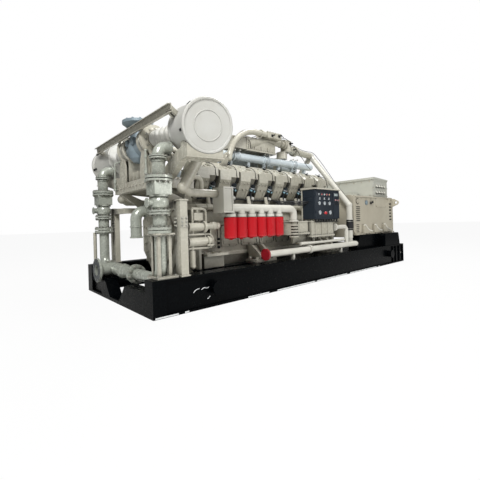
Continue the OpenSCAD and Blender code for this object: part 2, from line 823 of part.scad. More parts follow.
module gas_manifold() {
  z = gas_z;
  r = gas_r;
  flange_y = 480;
  color("#b9bbb0") difference() {
    union() {
      rod_z(z + r, 800, riser_x, riser_y, riser_d);
      rod_z(780, 800, riser_x, riser_y, 190);
      gas_bend(0);
      mirror([0, 1, 0]) gas_bend(0);
      rod_z(z + r, 782, riser_x, -riser_y, riser_d);
      rod_y(r - riser_y, riser_y - r, riser_x, z, riser_d);
      rod_y(150, 600, riser_x, z, 160);
      for (y = [590, 614]) rod_y(y, y + 16, riser_x, z, 190);
      rod_y(130, 150, riser_x, z, 176);
      // reducer, then the bolted pair of flanges
      translate([riser_x, 130, z]) rotate([90, 0, 0]) cylinder(d1 = 160, d2 = riser_d, h = 130);
      rod_y(-246, -222, riser_x, z, 214);
      rod_y(-214, -190, riser_x, z, 214);
      rod_y(-222, -214, riser_x, z, 150);
      // branch to the open flange
      rod_x(x_front + 10, riser_x, flange_y, z, 166);
      rod_x(x_front - 20, x_front + 10, flange_y, z, 200);
      rod_x(x_front - 46, x_front - 20, flange_y, z, 300);
    }
    rod_x(x_front - 47, x_front + 135, flange_y, z, inlet_bore);
    for (a = [22.5 : 45 : 337.5]) rod_x(x_front - 47, x_front - 19, flange_y + 120 * cos(a), z + 120 * sin(a), 22);
  }
}

module breather_elbow() {
  x = -2500;
  color("#b9bbb0") difference() {
    union() {
      rod_z(730, 955, x, 0, 130);
      rod_z(730, 748, x, 0, 150);
      rod_z(860, 876, x, 0, 146);
      bend_xz([x + 105, 0, 955], 105, 130, 90, 90);
      rod_x(x + 105, -2180, 0, 1060, 130);
      rod_x(x + 110, x + 130, 0, 1060, 160);
    }
    rod_z(729, 900, x, 0, 112);
    front_disc();
  }
}

module charge_duct() {
  y = -850;
  // from the compressor outward, down the slanted duct, then the level pipe
  rod_x(-2190, -2120, -volute_y, charge_z, 96);
  translate([-2120, -volute_y, charge_z]) sphere(d = 112);
  rod([-2120, -volute_y, charge_z], [-2097, y, 1655], 100);
  translate([-2097, y, 1655]) sphere(d = 122);
  rod([-2097, y, 1655], [-2342, y, 1266], 118);
  translate([-2342, y, 1266]) sphere(d = 126);
  rod([-2342, y, 1266], [-2264, y, 1220], 98);
  translate([-2264, y, 1220]) sphere(d = 92);
  rod_x(-2264, -1905, y, 1220, 88);
}

module charge_ducts() {
  color("#cfc6b5") {
    both_sides() difference() {
      charge_duct();
      turbocharger();
    }
    mirror([0, 1, 0]) {
      rod_x(-1905, -1880, -850, 1220, 110);
      box(-1960, -1880, -894, -500, 1176, 1194);
    }
    // thinner bent pipe behind the duct
    rod_z(1220, 1330, -2110, -850, 50);
    bend_xz([-2170, -850, 1330], 60, 50, 0, 90);
    rod_x(-2215, -2170, -850, 1390, 50);
  }
}

// Near side

module oil_header() {
  x1 = -690;
  color("#ddd4c3") {
    rod_x(-1765, x1, filter_y, header_z, 100);
    bend_xz([x1, filter_y, header_z - 80], 80, 96, 0, 90);
    rod_z(884, header_z - 80, x1 + 80, filter_y, 96);
    rod_z(876, 896, x1 + 80, filter_y, 130);
    // block at the low X end
    difference() {
      box(-1905, -1765, -980, -780, 1000, 1290);
      box(-1890, -1780, -981, -972, 1020, 1270);
    }
    // filter heads on a rail, carried by brackets on the block's side
    for (i = [0 : 5]) {
      rod_z(filter_top, 985, filter_x0 + i * filter_pitch, filter_y, 136);
      rod_z(985, header_z, filter_x0 + i * filter_pitch, filter_y, 110);
    }
    box(-1830, -860, -900, -828, 955, 1035);
    for (x = [-1700, -1060]) {
      box(x, x + 120, -822, -512, 864, 900);
      box(x, x + 120, -828, -700, 949, 1035);
      box(x, x + 120, -822, -700, 900, 949);
    }
  }
}

module oil_filters() {
  color("#c41f26") for (i = [0 : 5])
    translate([filter_x0 + i * filter_pitch, filter_y, filter_top - filter_h]) rotate_extrude()
      polygon([[0, 0], [46, 0], [filter_d / 2 - 10, 5], [filter_d / 2 - 2, 12], [filter_d / 2, 22], [filter_d / 2, filter_h - 8], [filter_d / 2 - 5, filter_h], [0, filter_h]]);
}

module front_coolers() {
  y = cooler_y;
  color("#cfc6b5") {
    // upper water pump pipe with its flange and bulb end
    rod_x(-2310, -2125, y, 848, 92);
    rod_x(-2125, -2095, y, 848, 132);
    rod_x(-2095, -1990, y, 852, 70);
    translate([-1975, y, 856]) sphere(d = 94);
    rod_x(-1975, -1925, y, 856, 74);
    translate([-1925, y, 856]) sphere(d = 78);
    // main cooler with domed end, and thin tubes above and below
    rod_x(-2315, -2050, y, 690, 100);
    translate([-2050, y, 690]) sphere(d = 104);
    rod_x(-2080, -2060, y, 690, 124);
    rod_x(-2310, -2060, y, 768, 28);
    rod_x(-2310, -2060, y, 622, 34);
    bend_xz([-2062, y, 695], 73, 26, -90, 180);
    // upright tank and its feed
    rod_z(430, 600, -2262, y, 66);
    translate([-2262, y, 432]) sphere(d = 70);
    rod_z(590, 670, -2262, y, 44);
    // small pipes above
    rod_z(890, 1000, -2080, y, 30);
    bend_xz([-2125, y, 1000], 45, 30, 0, 90);
    rod_x(-2250, -2125, y, 1045, 30);
    rod_z(780, 1045, -2250, y, 24);
    box(-2240, -2130, y - 20, y + 30, 920, 1000);
    rod_z(1000, 1045, -2190, y, 24);
    // plates that carry them from the front cover
    for (x = [-2099, -2029.7]) box(x, x + 12, y - 10, -480, 610, 900);
    box(-2099, -2017.7, y - 62, y - 10, 642, 658);
  }
}

module control_panel() {
  color("#2c323a") difference() {
    box(panel_x0, panel_x0 + panel_w, panel_y0, panel_y0 + 220, panel_z0, panel_z0 + panel_h);
    // shallow field on the door, and a sunk edge around the left face
    box(panel_x0 + 40, panel_x0 + panel_w - 170, panel_y0 - 1, panel_y0 + 6, panel_z0 + 30, panel_z0 + panel_h - 30);
    box(panel_x0 + panel_w - 150, panel_x0 + panel_w - 20, panel_y0 - 1, panel_y0 + 6, panel_z0 + 200, panel_z0 + panel_h - 30);
  }
}

module panel_bracket() {
  z1 = panel_z0 + panel_h;
  color("#d9cfbd") {
    // hood over the panel, back plate, and the shelf under it
    along_x(panel_x0 - 14, panel_x0 + panel_w + 14, [
      [panel_y0 - 24, z1], [panel_y0 - 24, z1 + 10], [panel_y0 - 6, z1 + 22], [panel_y0 + 244, z1 + 30], [panel_y0 + 244, z1]
    ]);
    box(panel_x0, panel_x0 + panel_w, panel_y0 + 220, panel_y0 + 244, panel_z0 - 23, z1);
    box(panel_x0 + 20, panel_x0 + panel_w - 20, panel_y0 + 40, panel_y0 + 244, panel_z0 - 12, panel_z0);
    for (x = [panel_x0 + 60, panel_x0 + panel_w - 120]) box(x, x + 50, -800, -740, 882, panel_z0 - 12);
  }
}

module side_coolers() {
  color("#d9cfbd") {
    // finned upright cylinder
    rod_z(640, 876, -610, filter_y, 84);
    for (z = [660, 700, 740, 780, 820]) rod_z(z, z + 16, -610, filter_y, 140);
    box(-680, -540, filter_y, -522, 690, 850);
    // two bolted boxes with flanged lower edges
    box(-470, -240, -860, -522, 700, 870);
    box(-490, -220, -880, -522, 690, 712);
    box(-478, -232, -868, -522, 866, 882);
    box(-200, 370, -900, -522, 650, 866);
    box(-216, 386, -916, -522, 640, 664);
    box(-208, 378, -908, -522, 866, 882);
    for (x = [-120, 40, 200]) box(x, x + 14, -908, -900, 664, 866);
    box(-240, -200, -800, -700, 740, 800);
    // bracket below with the drain funnel
    box(-520, -200, -800, -760, 560, 690);
    rod_z(560, 640, -100, -840, 60);
    rod_x(-480, -100, -840, 560, 40);
    translate([-100, -840, 560]) sphere(d = 62);
  }
}

module water_pipe() {
  y = -930;
  z = 470;
  r = 70;
  x1 = return_x - r;
  color("#ddd4c3") {
    // level run, bend inwards, bend up into the return pipe
    rod_x(-1200, x1, y, z, 88);
    translate([x1, y + r, z]) bend(r, 88, 270, 90);
    rod_y(y + r, -return_y, return_x, z, 88);
    translate([return_x, -return_y, z]) sphere(d = 92);
    rod_z(z, 560, return_x, -return_y, 88);
    // branch that rises and turns into the side cooler
    rod_z(z, 700, 705, y, 66);
    bend_xz([635, y, 700], 70, 66, 0, 90);
    rod_x(420, 635, y, 770, 66);
    rod_x(386, 420, y + 30, 770, 120);
    // thinner pipe above, with a flange joint on the main run
    rod_x(-480, 640, y + 26, 556, 42);
    rod_x(640, 705, y + 26, 556, 42);
    rod_x(-330, -316, y, z, 124);
    rod_x(-312, -298, y, z, 124);
    // props on the rail
    for (x = [-700, 500]) box(x, x + 30, y - 25, y + 25, deck_z, z);
  }
}

module blind_flange() {
  color("#a01a24") difference() {
    rod_x(-1226, -1200, -930, 470, 150);
    for (a = [45 : 90 : 315]) rod_x(-1227, -1199, -930 + 58 * cos(a), 470 + 58 * sin(a), 14);
  }
}

// Alternator

module gill(x) {
  // scoop with a curved upper lip, standing on the side near its bottom edge
  both_sides() translate([x, 4 - alt_w / 2, alt_z0 + 24]) rotate([90, 0, 0]) linear_extrude(height = 48) difference() {
    square([330, 150]);
    translate([330, 400]) circle(r = 366);
    translate([18, -1]) square([150, 1]);
  }
}

module alternator() {
  y0 = alt_w / 2;
  x1 = alt_x0 + alt_l;
  color("#beb6a6") {
    difference() {
      union() {
        along_x(alt_x0, x1, [[-y0, alt_z0 + 24], [-y0, alt_top - 10], [-y0 + 24, alt_top], [y0 - 24, alt_top], [y0, alt_top - 10], [y0, alt_z0 + 24]]);
        box(alt_x0, x1, -y0 - 26, y0 + 26, alt_z0, alt_z0 + 24);
      }
      both_sides() {
        // slots at both ends of each side
        for (k = [0 : 7]) box(1246, 1388, -y0 - 1, -y0 + 40, 850 + k * 36, 868 + k * 36);
        for (k = [0 : 4]) box(1246, 1350, -y0 - 1, -y0 + 40, 650 + k * 32, 664 + k * 32);
        for (k = [0 : 5]) box(2590, 2690, -y0 - 1, -y0 + 40, 850 + k * 64, 880 + k * 64);
        rod_y(-y0 - 1, -y0 + 14, 1300, 1215, 120);
      }
    }
    both_sides() {
      rod_y(-y0 - 8, -y0 + 20, 1300, 1215, 84);
      box(2010, 2420, -y0 - 5, -y0 + 4, 1118, 1296);
      box(1222, 2560, -y0 - 12, -y0 + 4, alt_top - 30, alt_top - 12);
    }
    for (x = [1440, 1840, 2240]) gill(x);
  }
}

module alternator_ends() {
  y0 = alt_w / 2;
  x1 = alt_x0 + alt_l;
  color("#b4ac9c") {
    // front frame towards the engine
    difference() {
      along_x(alt_x0 - 40, alt_x0, [[-y0, 660], [-y0, 1300], [-y0 + 60, 1330], [y0 - 60, 1330], [y0, 1300], [y0, 660], [y0 - 90, 560], [-y0 + 90, 560]]);
      rod_x(alt_x0 - 41, alt_x0 - 20, 0, 840, 0.5 + 500);
    }
    // rear shield with a round bearing cover
    along_x(x1, x1 + 22, [[-y0, 640], [-y0, 1290], [-y0 + 40, 1310], [y0 - 40, 1310], [y0, 1290], [y0, 640]]);
    rod_x(x1 + 22, x1 + 44, 0, 860, 620);
    rod_x(x1 + 44, x1 + 60, 0, 860, 300);
    for (s = [-1, 1]) for (k = [0 : 6]) box(x1 + 22, x1 + 34, s * 560 - 140, s * 560 + 140, 700 + k * 70, 730 + k * 70);
    // lifting lugs at the rear corners
    both_sides() translate([x1 - 60, 0, 0]) rotate([90, 0, 90]) linear_extrude(height = 26) difference() {
      polygon([[-y0, 1330 - 40], [-y0 - 60, 1290], [-y0 - 150, 1236], [-y0 - 156, 1200], [-y0 - 130, 1170], [-y0, 1110]]);
      translate([-y0 - 100, 1212]) circle(d = 50);
    }
  }
}

module terminal_box() {
  x1 = 2690;
  y0 = 740;
  z0 = alt_top;
  z1 = z0 + tbox_h;
  color("#beb6a6") {
    box(tbox_x0, x1, -y0, y0, z0, z1);
    // lid that falls a little towards the rear, and a frame on each end face
    along_y(-y0 - 14, y0 + 14, [[tbox_x0 - 14, z1 - 18], [tbox_x0 - 14, z1 + 26], [tbox_x0 + 60, z1 + 32], [x1 + 14, z1 + 4], [x1 + 14, z1 - 18]]);
    both_sides() {
      difference() {
        box(tbox_x0 + 16, x1 - 16, -y0 - 8, -y0, z0 + 12, z1 - 18);
        box(tbox_x0 + 60, x1 - 60, -y0 - 9, -y0 - 3, z0 + 40, z1 - 44);
      }
      // hooded louvres
      for (i = [0 : 3]) for (k = [0, 1])
        translate([tbox_x0 + 110 + i * 106, -y0 - 3, z0 + 84 + k * 122]) rotate([0, 90, 0]) linear_extrude(height = 66)
          polygon([[0, 0], [-64, 0], [0, -30]]);
    }
    // plain front part of the box
    box(tbox_x0 - 260, tbox_x0, -y0 + 300, y0 - 300, z0, z0 + 90);
  }
}

module alternator_feet() {
  color("#14171b") both_sides() {
    along_y(15 - y_side, -bearer_y1, [[2000, deck_z], [2655, deck_z], [2610, 560], [2590, alt_z0], [2030, alt_z0], [2010, 560]]);
    along_y(145 - y_side, -bearer_y1, [[1230, 480], [1300, alt_z0], [2010, alt_z0], [2000, deck_z], [1160, deck_z], [1160, 420]]);
    box(1990, 2670, 5 - y_side, -bearer_y1, deck_z, deck_z + 1);
  }
}

base_rail_near();
base_rail_far();
base_cross_members();
engine_bearers();
drip_tray();
engine_block();
oil_sump();
engine_feet();
front_cover();
flywheel_housing();
cylinder_heads();
rocker_covers();
ignition_coils();
exhaust_manifolds();
coolant_rails();
lifting_eyes();
charge_air_housing();
crossover_pipe();
mixer_pipe();
return_pipes();
pipe_couplings();
turbochargers();
intake_bellows();
exhaust_outlet();
turbo_shelf();
oil_lines();
air_filter_near();
air_filter_far();
filter_saddles();
filter_tie_beam();
riser_near();
riser_far();
support_column();
support_posts();
gas_manifold();
breather_elbow();
charge_ducts();
oil_header();
oil_filters();
front_coolers();
control_panel();
panel_bracket();
side_coolers();
water_pipe();
blind_flange();
alternator();
alternator_ends();
terminal_box();
alternator_feet();
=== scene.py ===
"""Gas engine generator set on a black skid: finishes, fastenings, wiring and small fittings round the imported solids."""

import json
import math

import bmesh
import bpy
from mathutils import Matrix, Vector


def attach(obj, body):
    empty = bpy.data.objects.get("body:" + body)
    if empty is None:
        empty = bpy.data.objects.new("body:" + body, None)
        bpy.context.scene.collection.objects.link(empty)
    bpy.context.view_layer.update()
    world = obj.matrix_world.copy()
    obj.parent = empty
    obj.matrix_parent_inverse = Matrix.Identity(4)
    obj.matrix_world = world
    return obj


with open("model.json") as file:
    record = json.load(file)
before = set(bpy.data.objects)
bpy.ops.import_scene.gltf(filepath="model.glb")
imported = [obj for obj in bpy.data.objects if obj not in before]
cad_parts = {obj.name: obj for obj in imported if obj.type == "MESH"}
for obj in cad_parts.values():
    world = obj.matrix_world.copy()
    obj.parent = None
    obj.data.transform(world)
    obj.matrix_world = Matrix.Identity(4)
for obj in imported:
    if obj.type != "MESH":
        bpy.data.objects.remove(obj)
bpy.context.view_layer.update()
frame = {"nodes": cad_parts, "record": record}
nodes = frame["nodes"]

# ---- values shared with the solids, in metres ----
X_FRONT, Y_SIDE, DECK = -2.785, 1.005, 0.36
BANK_X0, PITCH, CYLINDERS = -1.98, 0.346, 8
CRANK_Z, LEAN = 0.82, math.radians(30)
DECK_D, HEAD_W, COVER_W, HEAD_GAP = 0.5, 0.38, 0.356, 0.016
COVER_D, COVER_H = 0.75, 0.186
COIL_IN = 0.01
HEAD_SPAN = PITCH - HEAD_GAP
RISER_X, RISER_Y = -2.608, 0.84
GAS_Y, GAS_Z, GAS_BORE = 0.48, 0.33, 0.065
POST_X, POST_Y = -2.43, 0.955
TURBO_X, TURBO_Z = -2.4, 1.86
DRUM = Vector((-2.266, -0.88, 1.868))
DRUM_R, DRUM_L, DRUM_SPLAY, DRUM_PITCH = 0.247, 0.5, math.radians(11), math.radians(9.5)
OUTLET_X = -2.44
MANIFOLD_Y, MANIFOLD_Z, MANIFOLD_R = -0.185, 1.865, 0.062
FILTER_X0, FILTER_Y, FILTER_PITCH, FILTER_TOP, FILTER_R, FILTER_H = -1.754, -0.9, 0.163, 0.948, 0.076, 0.25
PANEL_X0, PANEL_Y0, PANEL_Z0, PANEL_W, PANEL_H = -0.18, -0.95, 0.905, 0.66, 0.445
ALT_Y, ALT_Z0, ALT_TOP = 0.82, 0.6, 1.32
RETURN_X, RETURN_Y = 1.05, 0.8
UP, NEAR, FRONT = Vector((0, 0, 1)), Vector((0, -1, 0)), Vector((-1, 0, 0))
BOTH = (1, -1)

# ---- the picture, in its own pixels, and the eye behind it ----
FRAME_PX, FOCAL_PX, LOWERED_PX, SENSOR_MM = 480, 315.3956, 17.21, 36
EYE_PLACE, EYE_HEADING, EYE_ROLL = (-4.0695, -3.7273, 0.8809), 48.9307, -1.5941


def bank(x, y, z, side=1):
    """A point of the near bank's own frame, or of the far bank's with side -1."""
    c, s = math.cos(LEAN), math.sin(LEAN)
    return Vector((x, side * (y * c - z * s), CRANK_Z + y * s + z * c))


def bank_way(x, y, z, side=1):
    return bank(x, y, z, side) - bank(0, 0, 0, side)


def side_of(v, side):
    return Vector((v[0], v[1] * side, v[2]))


# ---- finishes ----
def linear(code):
    """sRGB hex to linear, with alpha."""
    parts = [int(code[i : i + 2], 16) / 255 for i in (1, 3, 5)]
    return (*[p / 12.92 if p <= 0.04045 else ((p + 0.055) / 1.055) ** 2.4 for p in parts], 1)


def empty_tree(owner):
    owner.use_nodes = True
    owner.node_tree.nodes.clear()
    return owner.node_tree


def fill(tree, node, inputs):
    """Gives a node's inputs their values or links."""
    for key, value in inputs.items():
        if isinstance(value, bpy.types.NodeSocket):
            tree.links.new(value, node.inputs[key])
        else:
            node.inputs[key].default_value = value


def add(tree, kind, inputs=None, **settings):
    """Adds a node with its settings, values and links."""
    n = tree.nodes.new("ShaderNode" + kind)
    for key, value in settings.items():
        setattr(n, key, value)
    fill(tree, n, inputs or {})
    return n


def start(name):
    """A new material with its shader, and the place on the piece that its patterns read."""
    m = bpy.data.materials.new(name)
    t = empty_tree(m)
    shader = add(t, "BsdfPrincipled")
    add(t, "OutputMaterial", {"Surface": shader.outputs[0]})
    return m, t, shader, add(t, "TexCoord").outputs["Object"]


def paint(
    name, colour, shade, corner_shade_colour, rough=0.4, metallic=0.0, grain=0.0, grain_size=0.006,
    dust=0.25, wear="#f2ece0", crevice=0.75, mirror=0.5,
):
    """Sprayed paint: patchy tone, painted shade darkening the corners, a little dust on top faces and pale rubbed
    edges.
    """
    m, t, shader, place = start(name)
    # patches of tone half a metre wide, and runs and stains about 40 mm across
    patches = add(t, "TexNoise", {"Vector": place, "Scale": 2.2, "Detail": 4.0, "Roughness": 0.6}).outputs[0]
    stains = add(t, "TexNoise", {"Vector": place, "Scale": 24.0, "Detail": 5.0, "Roughness": 0.65}).outputs[0]
    toned = add(t, "MapRange", {0: patches, 1: 0.35, 2: 0.68}).outputs[0]
    # painted shade, darkest where little open air reaches and broken up a little by the stains
    open_air = add(t, "AmbientOcclusion", {"Distance": 0.13}, samples=8).outputs["AO"]
    closed = add(t, "MapRange", {0: open_air, 1: 0.78, 2: 0.2, 4: crevice}).outputs[0]
    blotched = add(t, "MapRange", {0: stains, 1: 0.3, 2: 0.6, 3: 0.85}).outputs[0]
    corner_shade = add(t, "Math", {0: closed, 1: blotched}, operation="MULTIPLY").outputs[0]
    # dust where a face lies level
    faces = add(t, "NewGeometry").outputs["Normal"]
    upward = add(t, "SeparateXYZ", {0: faces}).outputs["Z"]
    level = add(t, "MapRange", {0: upward, 1: 0.75, 2: 1.0, 4: dust}).outputs[0]
    settled = add(t, "MapRange", {0: stains, 1: 0.42, 2: 0.6}).outputs[0]
    lying = add(t, "Math", {0: level, 1: settled}, operation="MULTIPLY").outputs[0]
    # edges rounded by 3 mm to the eye, and rubbed pale
    rounded = add(t, "Bevel", {"Radius": 0.003}, samples=4).outputs[0]
    turned_by = add(t, "VectorMath", {0: rounded, 1: faces}, operation="DOT_PRODUCT").outputs["Value"]
    edge = add(t, "MapRange", {0: turned_by, 1: 0.97, 2: 0.85, 4: 0.6}).outputs[0]
    worn = add(t, "MapRange", {0: stains, 1: 0.4, 2: 0.55}).outputs[0]
    rubbed = add(t, "Math", {0: edge, 1: worn}, operation="MULTIPLY").outputs[0]
    tone = linear(colour)
    # mixes in turn: tone patches, painted corner shade, dust and pale rubbed edges
    for share, tint in ((toned, shade), (corner_shade, corner_shade_colour), (lying, "#a9a397"), (rubbed, wear)):
        tone = add(t, "Mix", {0: share, 6: tone, 7: linear(tint)}, data_type="RGBA").outputs[2]
    bumpy = add(t, "TexNoise", {"Vector": place, "Scale": 0.35 / grain_size, "Detail": 2.0}).outputs[0]
    relief = {"Height": bumpy, "Strength": grain, "Distance": 0.0012, "Normal": rounded}
    shine = add(t, "MapRange", {0: stains, 1: 0.3, 2: 0.7, 3: rough - 0.04, 4: rough + 0.08}).outputs[0]
    fill(t, shader, {
        "Base Color": tone, "Roughness": shine, "Normal": add(t, "Bump", relief).outputs[0],
        "Metallic": metallic, "Specular IOR Level": mirror,
    })
    return m


def plain(name, colour, shade, rough, metallic=0.0, size=0.02, bump=0.15, coat=0.0):
    """A small fitting's finish: two tones in patches of about size, and a slight bump."""
    m, t, shader, place = start(name)
    mottle = add(t, "TexNoise", {"Vector": place, "Scale": 0.5 / size, "Detail": 3.0}).outputs[0]
    share = add(t, "MapRange", {0: mottle, 1: 0.3, 2: 0.7}).outputs[0]
    fill(t, shader, {
        "Base Color": add(t, "Mix", {0: share, 6: linear(colour), 7: linear(shade)}, data_type="RGBA").outputs[2],
        "Roughness": add(t, "MapRange", {0: mottle, 1: 0.3, 2: 0.7, 3: rough - 0.05, 4: rough + 0.08}).outputs[0],
        "Normal": add(t, "Bump", {"Height": mottle, "Strength": bump, "Distance": 0.0006}).outputs[0],
        "Metallic": metallic, "Coat Weight": coat,
    })
    return m


FINISH = {
    # two-pack black paint on rolled steel: deep and half glossy; the near-white line along the near rail's toe is a
    # painted highlight, laid on as its own piece
    "frame_paint": paint(
        "black_skid_enamel", "#030507", "#06080a", "#010101",
        rough=0.26, grain=0.04, dust=0.0, wear="#0d1114", crevice=0.5, mirror=0.05,
    ),
    # cream alkyd enamel sprayed over cast iron: satin, with the casting's grain showing through
    "engine_paint": paint(
        "cream_engine_enamel", "#c0bdaf", "#b2ae9f", "#1f1d17",
        rough=0.24, grain=0.25, dust=0.04, crevice=0.9,
    ),
    # grey-green aluminium paint on steel pipe: a soft metallic sheen
    "pipe_paint": paint(
        "aluminium_pipe_paint", "#bcc0b5", "#b1b6ab", "#1d211c",
        rough=0.24, metallic=0.25, grain=0.08, dust=0.03, crevice=0.8,
    ),
    # silver-blue heat coat on the exhaust pipes
    "exhaust_coat": paint(
        "silver_heat_coat", "#dfe8ec", "#d3dfe5", "#2a343b",
        rough=0.22, metallic=0.2, grain=0.05, dust=0.0, crevice=0.65,
    ),
    # blue-grey heat coat on cast iron: dull, with the sand's grain
    "outlet_coat": paint(
        "blue_heat_coat", "#8f9da4", "#7b8b94", "#1f262b",
        rough=0.45, metallic=0.2, grain=0.4, dust=0.2, wear="#b9c8d0",
    ),
    # red stoving enamel on drawn steel cans: even, with a clear gloss that draws one bright line down each can
    "filter_paint": plain("red_stove_enamel", "#c01621", "#b6131e", 0.24, size=0.25, bump=0.0, coat=0.3),
    # red lead primer on the blanking plate: dull and a little patchy
    "blind_paint": paint(
        "dark_red_primer", "#9c1624", "#860f1c", "#33060b",
        rough=0.4, grain=0.15, dust=0.1, wear="#b54a50",
    ),
    # glass-filled nylon, moulded: nearly black with a bluish sheen
    "coil_plastic": plain("moulded_black_nylon", "#1b2026", "#262d33", 0.38, size=0.01),
    # wrapped rubber hose: matt, with a fine wrapped pattern drawn at 6 mm
    "coupling_rubber": plain("wrapped_black_rubber", "#0d0e10", "#17181a", 0.62, size=0.006, bump=0.5),
    # textured powder coat on sheet steel: slate, fine orange peel
    "panel_paint": paint(
        "slate_powder_coat", "#232b34", "#1d252e", "#07090b",
        rough=0.42, grain=0.3, grain_size=0.004, dust=0.08, wear="#59636e", crevice=0.5, mirror=0.3,
    ),
    # warm grey enamel on sheet steel: smooth and satin
    "alternator_paint": paint(
        "warm_grey_enamel", "#c0baa8", "#b4ad9b", "#322f27",
        rough=0.36, grain=0.08, dust=0.15,
    ),
    # off-white enamel on spun sheet steel
    "drum_paint": paint(
        "off_white_enamel", "#cfcfca", "#c4c3bc", "#34322b",
        rough=0.33, grain=0.06, dust=0.1, wear="#f0eee8",
    ),
}
# the same cream enamel on the rocker covers, a tone darker as painted shade, to hold down their top faces that turn up
# to the lamps
COVER_ENAMEL = paint(
    "cover_enamel_painted_darker", "#b5b2a4", "#a9a697", "#1f1d17",
    rough=0.24, grain=0.2, dust=0.0, crevice=0.9,
)
# the terminal box was sprayed apart from the housing: cooler and paler
BOX_ENAMEL = paint("pale_grey_enamel", "#c6c7bd", "#bbbcb1", "#32322c", rough=0.36, grain=0.08, dust=0.15)
# a paler copy of the cream enamel on the long smooth pipes: nearly white, with a gloss that draws a bright line along
# them
PIPE_ENAMEL = paint(
    "pale_pipe_enamel", "#d6d4ca", "#cac8bd", "#2b2a24",
    rough=0.2, grain=0.05, dust=0.02, crevice=0.9,
)
OWN_FINISH = {
    "rocker_covers": COVER_ENAMEL,
    "terminal_box": BOX_ENAMEL,
    **dict.fromkeys(("return_pipes", "water_pipe", "oil_header"), PIPE_ENAMEL),
}
# zinc-plated steel of the loose fastenings: bright grey with a yellowish cast
ZINC = plain("zinc_plated_steel", "#c9c8c0", "#a7a69d", 0.34, metallic=0.9, size=0.006)
# steel blackened in hot oil: nearly black, with a dull metal gleam; the same finish is also laid in the alternator's
# slots and under the louvres' hoods as painted shade
DARK_STEEL = plain("blackened_steel", "#2b2e31", "#1c1e20", 0.45, metallic=0.6, size=0.006)
# near-white enamel as a painted highlight on the alternator's rolled lips and on the louvres' slanted faces
PAINTED_HIGHLIGHT_ENAMEL = plain("pale_highlight_enamel", "#eceadf", "#e2dfd3", 0.3, size=0.02, bump=0.0)
# PVC cable sheath: black, satin
CABLE = plain("black_cable_sheath", "#101215", "#1b1d20", 0.5, size=0.01)
# moulded nylon, dyed in the mass: even and slightly waxy
PALE_BLUE = plain("pale_blue_nylon", "#a8cfdc", "#8db9c9", 0.35, size=0.01)
# stoved enamel of dial faces and bands: smooth, off-white
WHITE_ENAMEL = plain("white_dial_enamel", "#c3cace", "#b4bcc1", 0.35, size=0.01, bump=0.0)
# tinted acrylic lamp lenses and button: clear gloss over an even colour
RED_LENS = plain("red_acrylic", "#d8202a", "#c0141e", 0.2, size=0.01, bump=0.0, coat=0.5)
AMBER_LENS = plain("amber_acrylic", "#e07a24", "#cf6a18", 0.2, size=0.01, bump=0.0, coat=0.5)
# glass over an unlit display: grey-green, sharp gloss
GREY_GLASS = plain("display_glass", "#a9b4b4", "#98a5a6", 0.15, size=0.01, bump=0.0, coat=0.6)
# chromed brass bezels: bright, with a slight waviness
CHROME = plain("chromed_brass", "#e2e2e0", "#d2d2d0", 0.15, metallic=1.0, size=0.01, bump=0.05)
# steel where the black paint has been knocked off: pale and rough; the same near-white is also the painted highlight
# along the near rail's toe
BARE_STEEL_AND_HIGHLIGHT = plain("bare_steel_and_highlight", "#eef0f0", "#dfe2e2", 0.5, metallic=0.0, size=0.01)
# bare machined steel under a film of oil: dark, blue-grey
OILED_STEEL = plain("oiled_machined_steel", "#2a333a", "#1e262c", 0.32, metallic=0.5, size=0.01)


def finish_cad():
    slots = {row["node"]: row["material_slot"] for row in frame["record"]["subparts"]}
    for name, o in nodes.items():
        for s in o.material_slots:
            s.material = OWN_FINISH.get(name) or FINISH[slots[name]]


finish_cad()


# ---- shapes ----
def facing(p, axis):
    """Turns a new shape's Z along axis and sets it at p."""
    return Matrix.Translation(p) @ Vector((0, 0, 1)).rotation_difference(Vector(axis)).to_matrix().to_4x4()


def bar(bm, p, axis, r, h, n=16, r_end=None):
    """Closed round bar or cone that starts at p."""
    m = facing(p, axis) @ Matrix.Translation((0, 0, h / 2))
    r_end = r if r_end is None else r_end
    return bmesh.ops.create_cone(bm, cap_ends=True, segments=n, radius1=r, radius2=r_end, depth=h, matrix=m)["verts"]


def bar_between(bm, p, q, r, n=12):
    v = Vector(q) - Vector(p)
    return bar(bm, Vector(p), v.normalized(), r, v.length, n)


def block(bm, low, high, soft=0.0, turn=None):
    """Closed block between two corners, with its edges rounded by soft."""
    low, high = Vector(low), Vector(high)
    m = Matrix.Translation((low + high) / 2) @ Matrix.Diagonal((*(high - low), 1))
    made = bmesh.ops.create_cube(bm, size=1, matrix=m)["verts"]
    if soft:
        edges = list({e for v in made for e in v.link_edges})
        made = bmesh.ops.bevel(
            bm, geom=edges, offset=soft, offset_type="OFFSET", segments=2, profile=0.5, affect="EDGES", material=-1
        )["verts"]
    if turn:
        bmesh.ops.transform(bm, matrix=turn, verts=made)
    return made


def ring(bm, p, axis, r, thick, n=32, m=8, angle=math.tau):
    """Round ring of round section, spun about axis; a part of a ring gets closed ends."""
    axis = Vector(axis)
    across = axis.orthogonal().normalized()
    start_at = Vector(p) + across * r
    section = facing(start_at, axis.cross(across))
    made = bmesh.ops.create_circle(bm, cap_ends=angle < math.tau, segments=m, radius=thick, matrix=section)["verts"]
    geom = made + list({e for v in made for e in v.link_edges}) + list({f for v in made for f in v.link_faces})
    bmesh.ops.spin(bm, geom=geom, cent=p, axis=axis, angle=angle, steps=n, use_merge=angle >= math.tau)


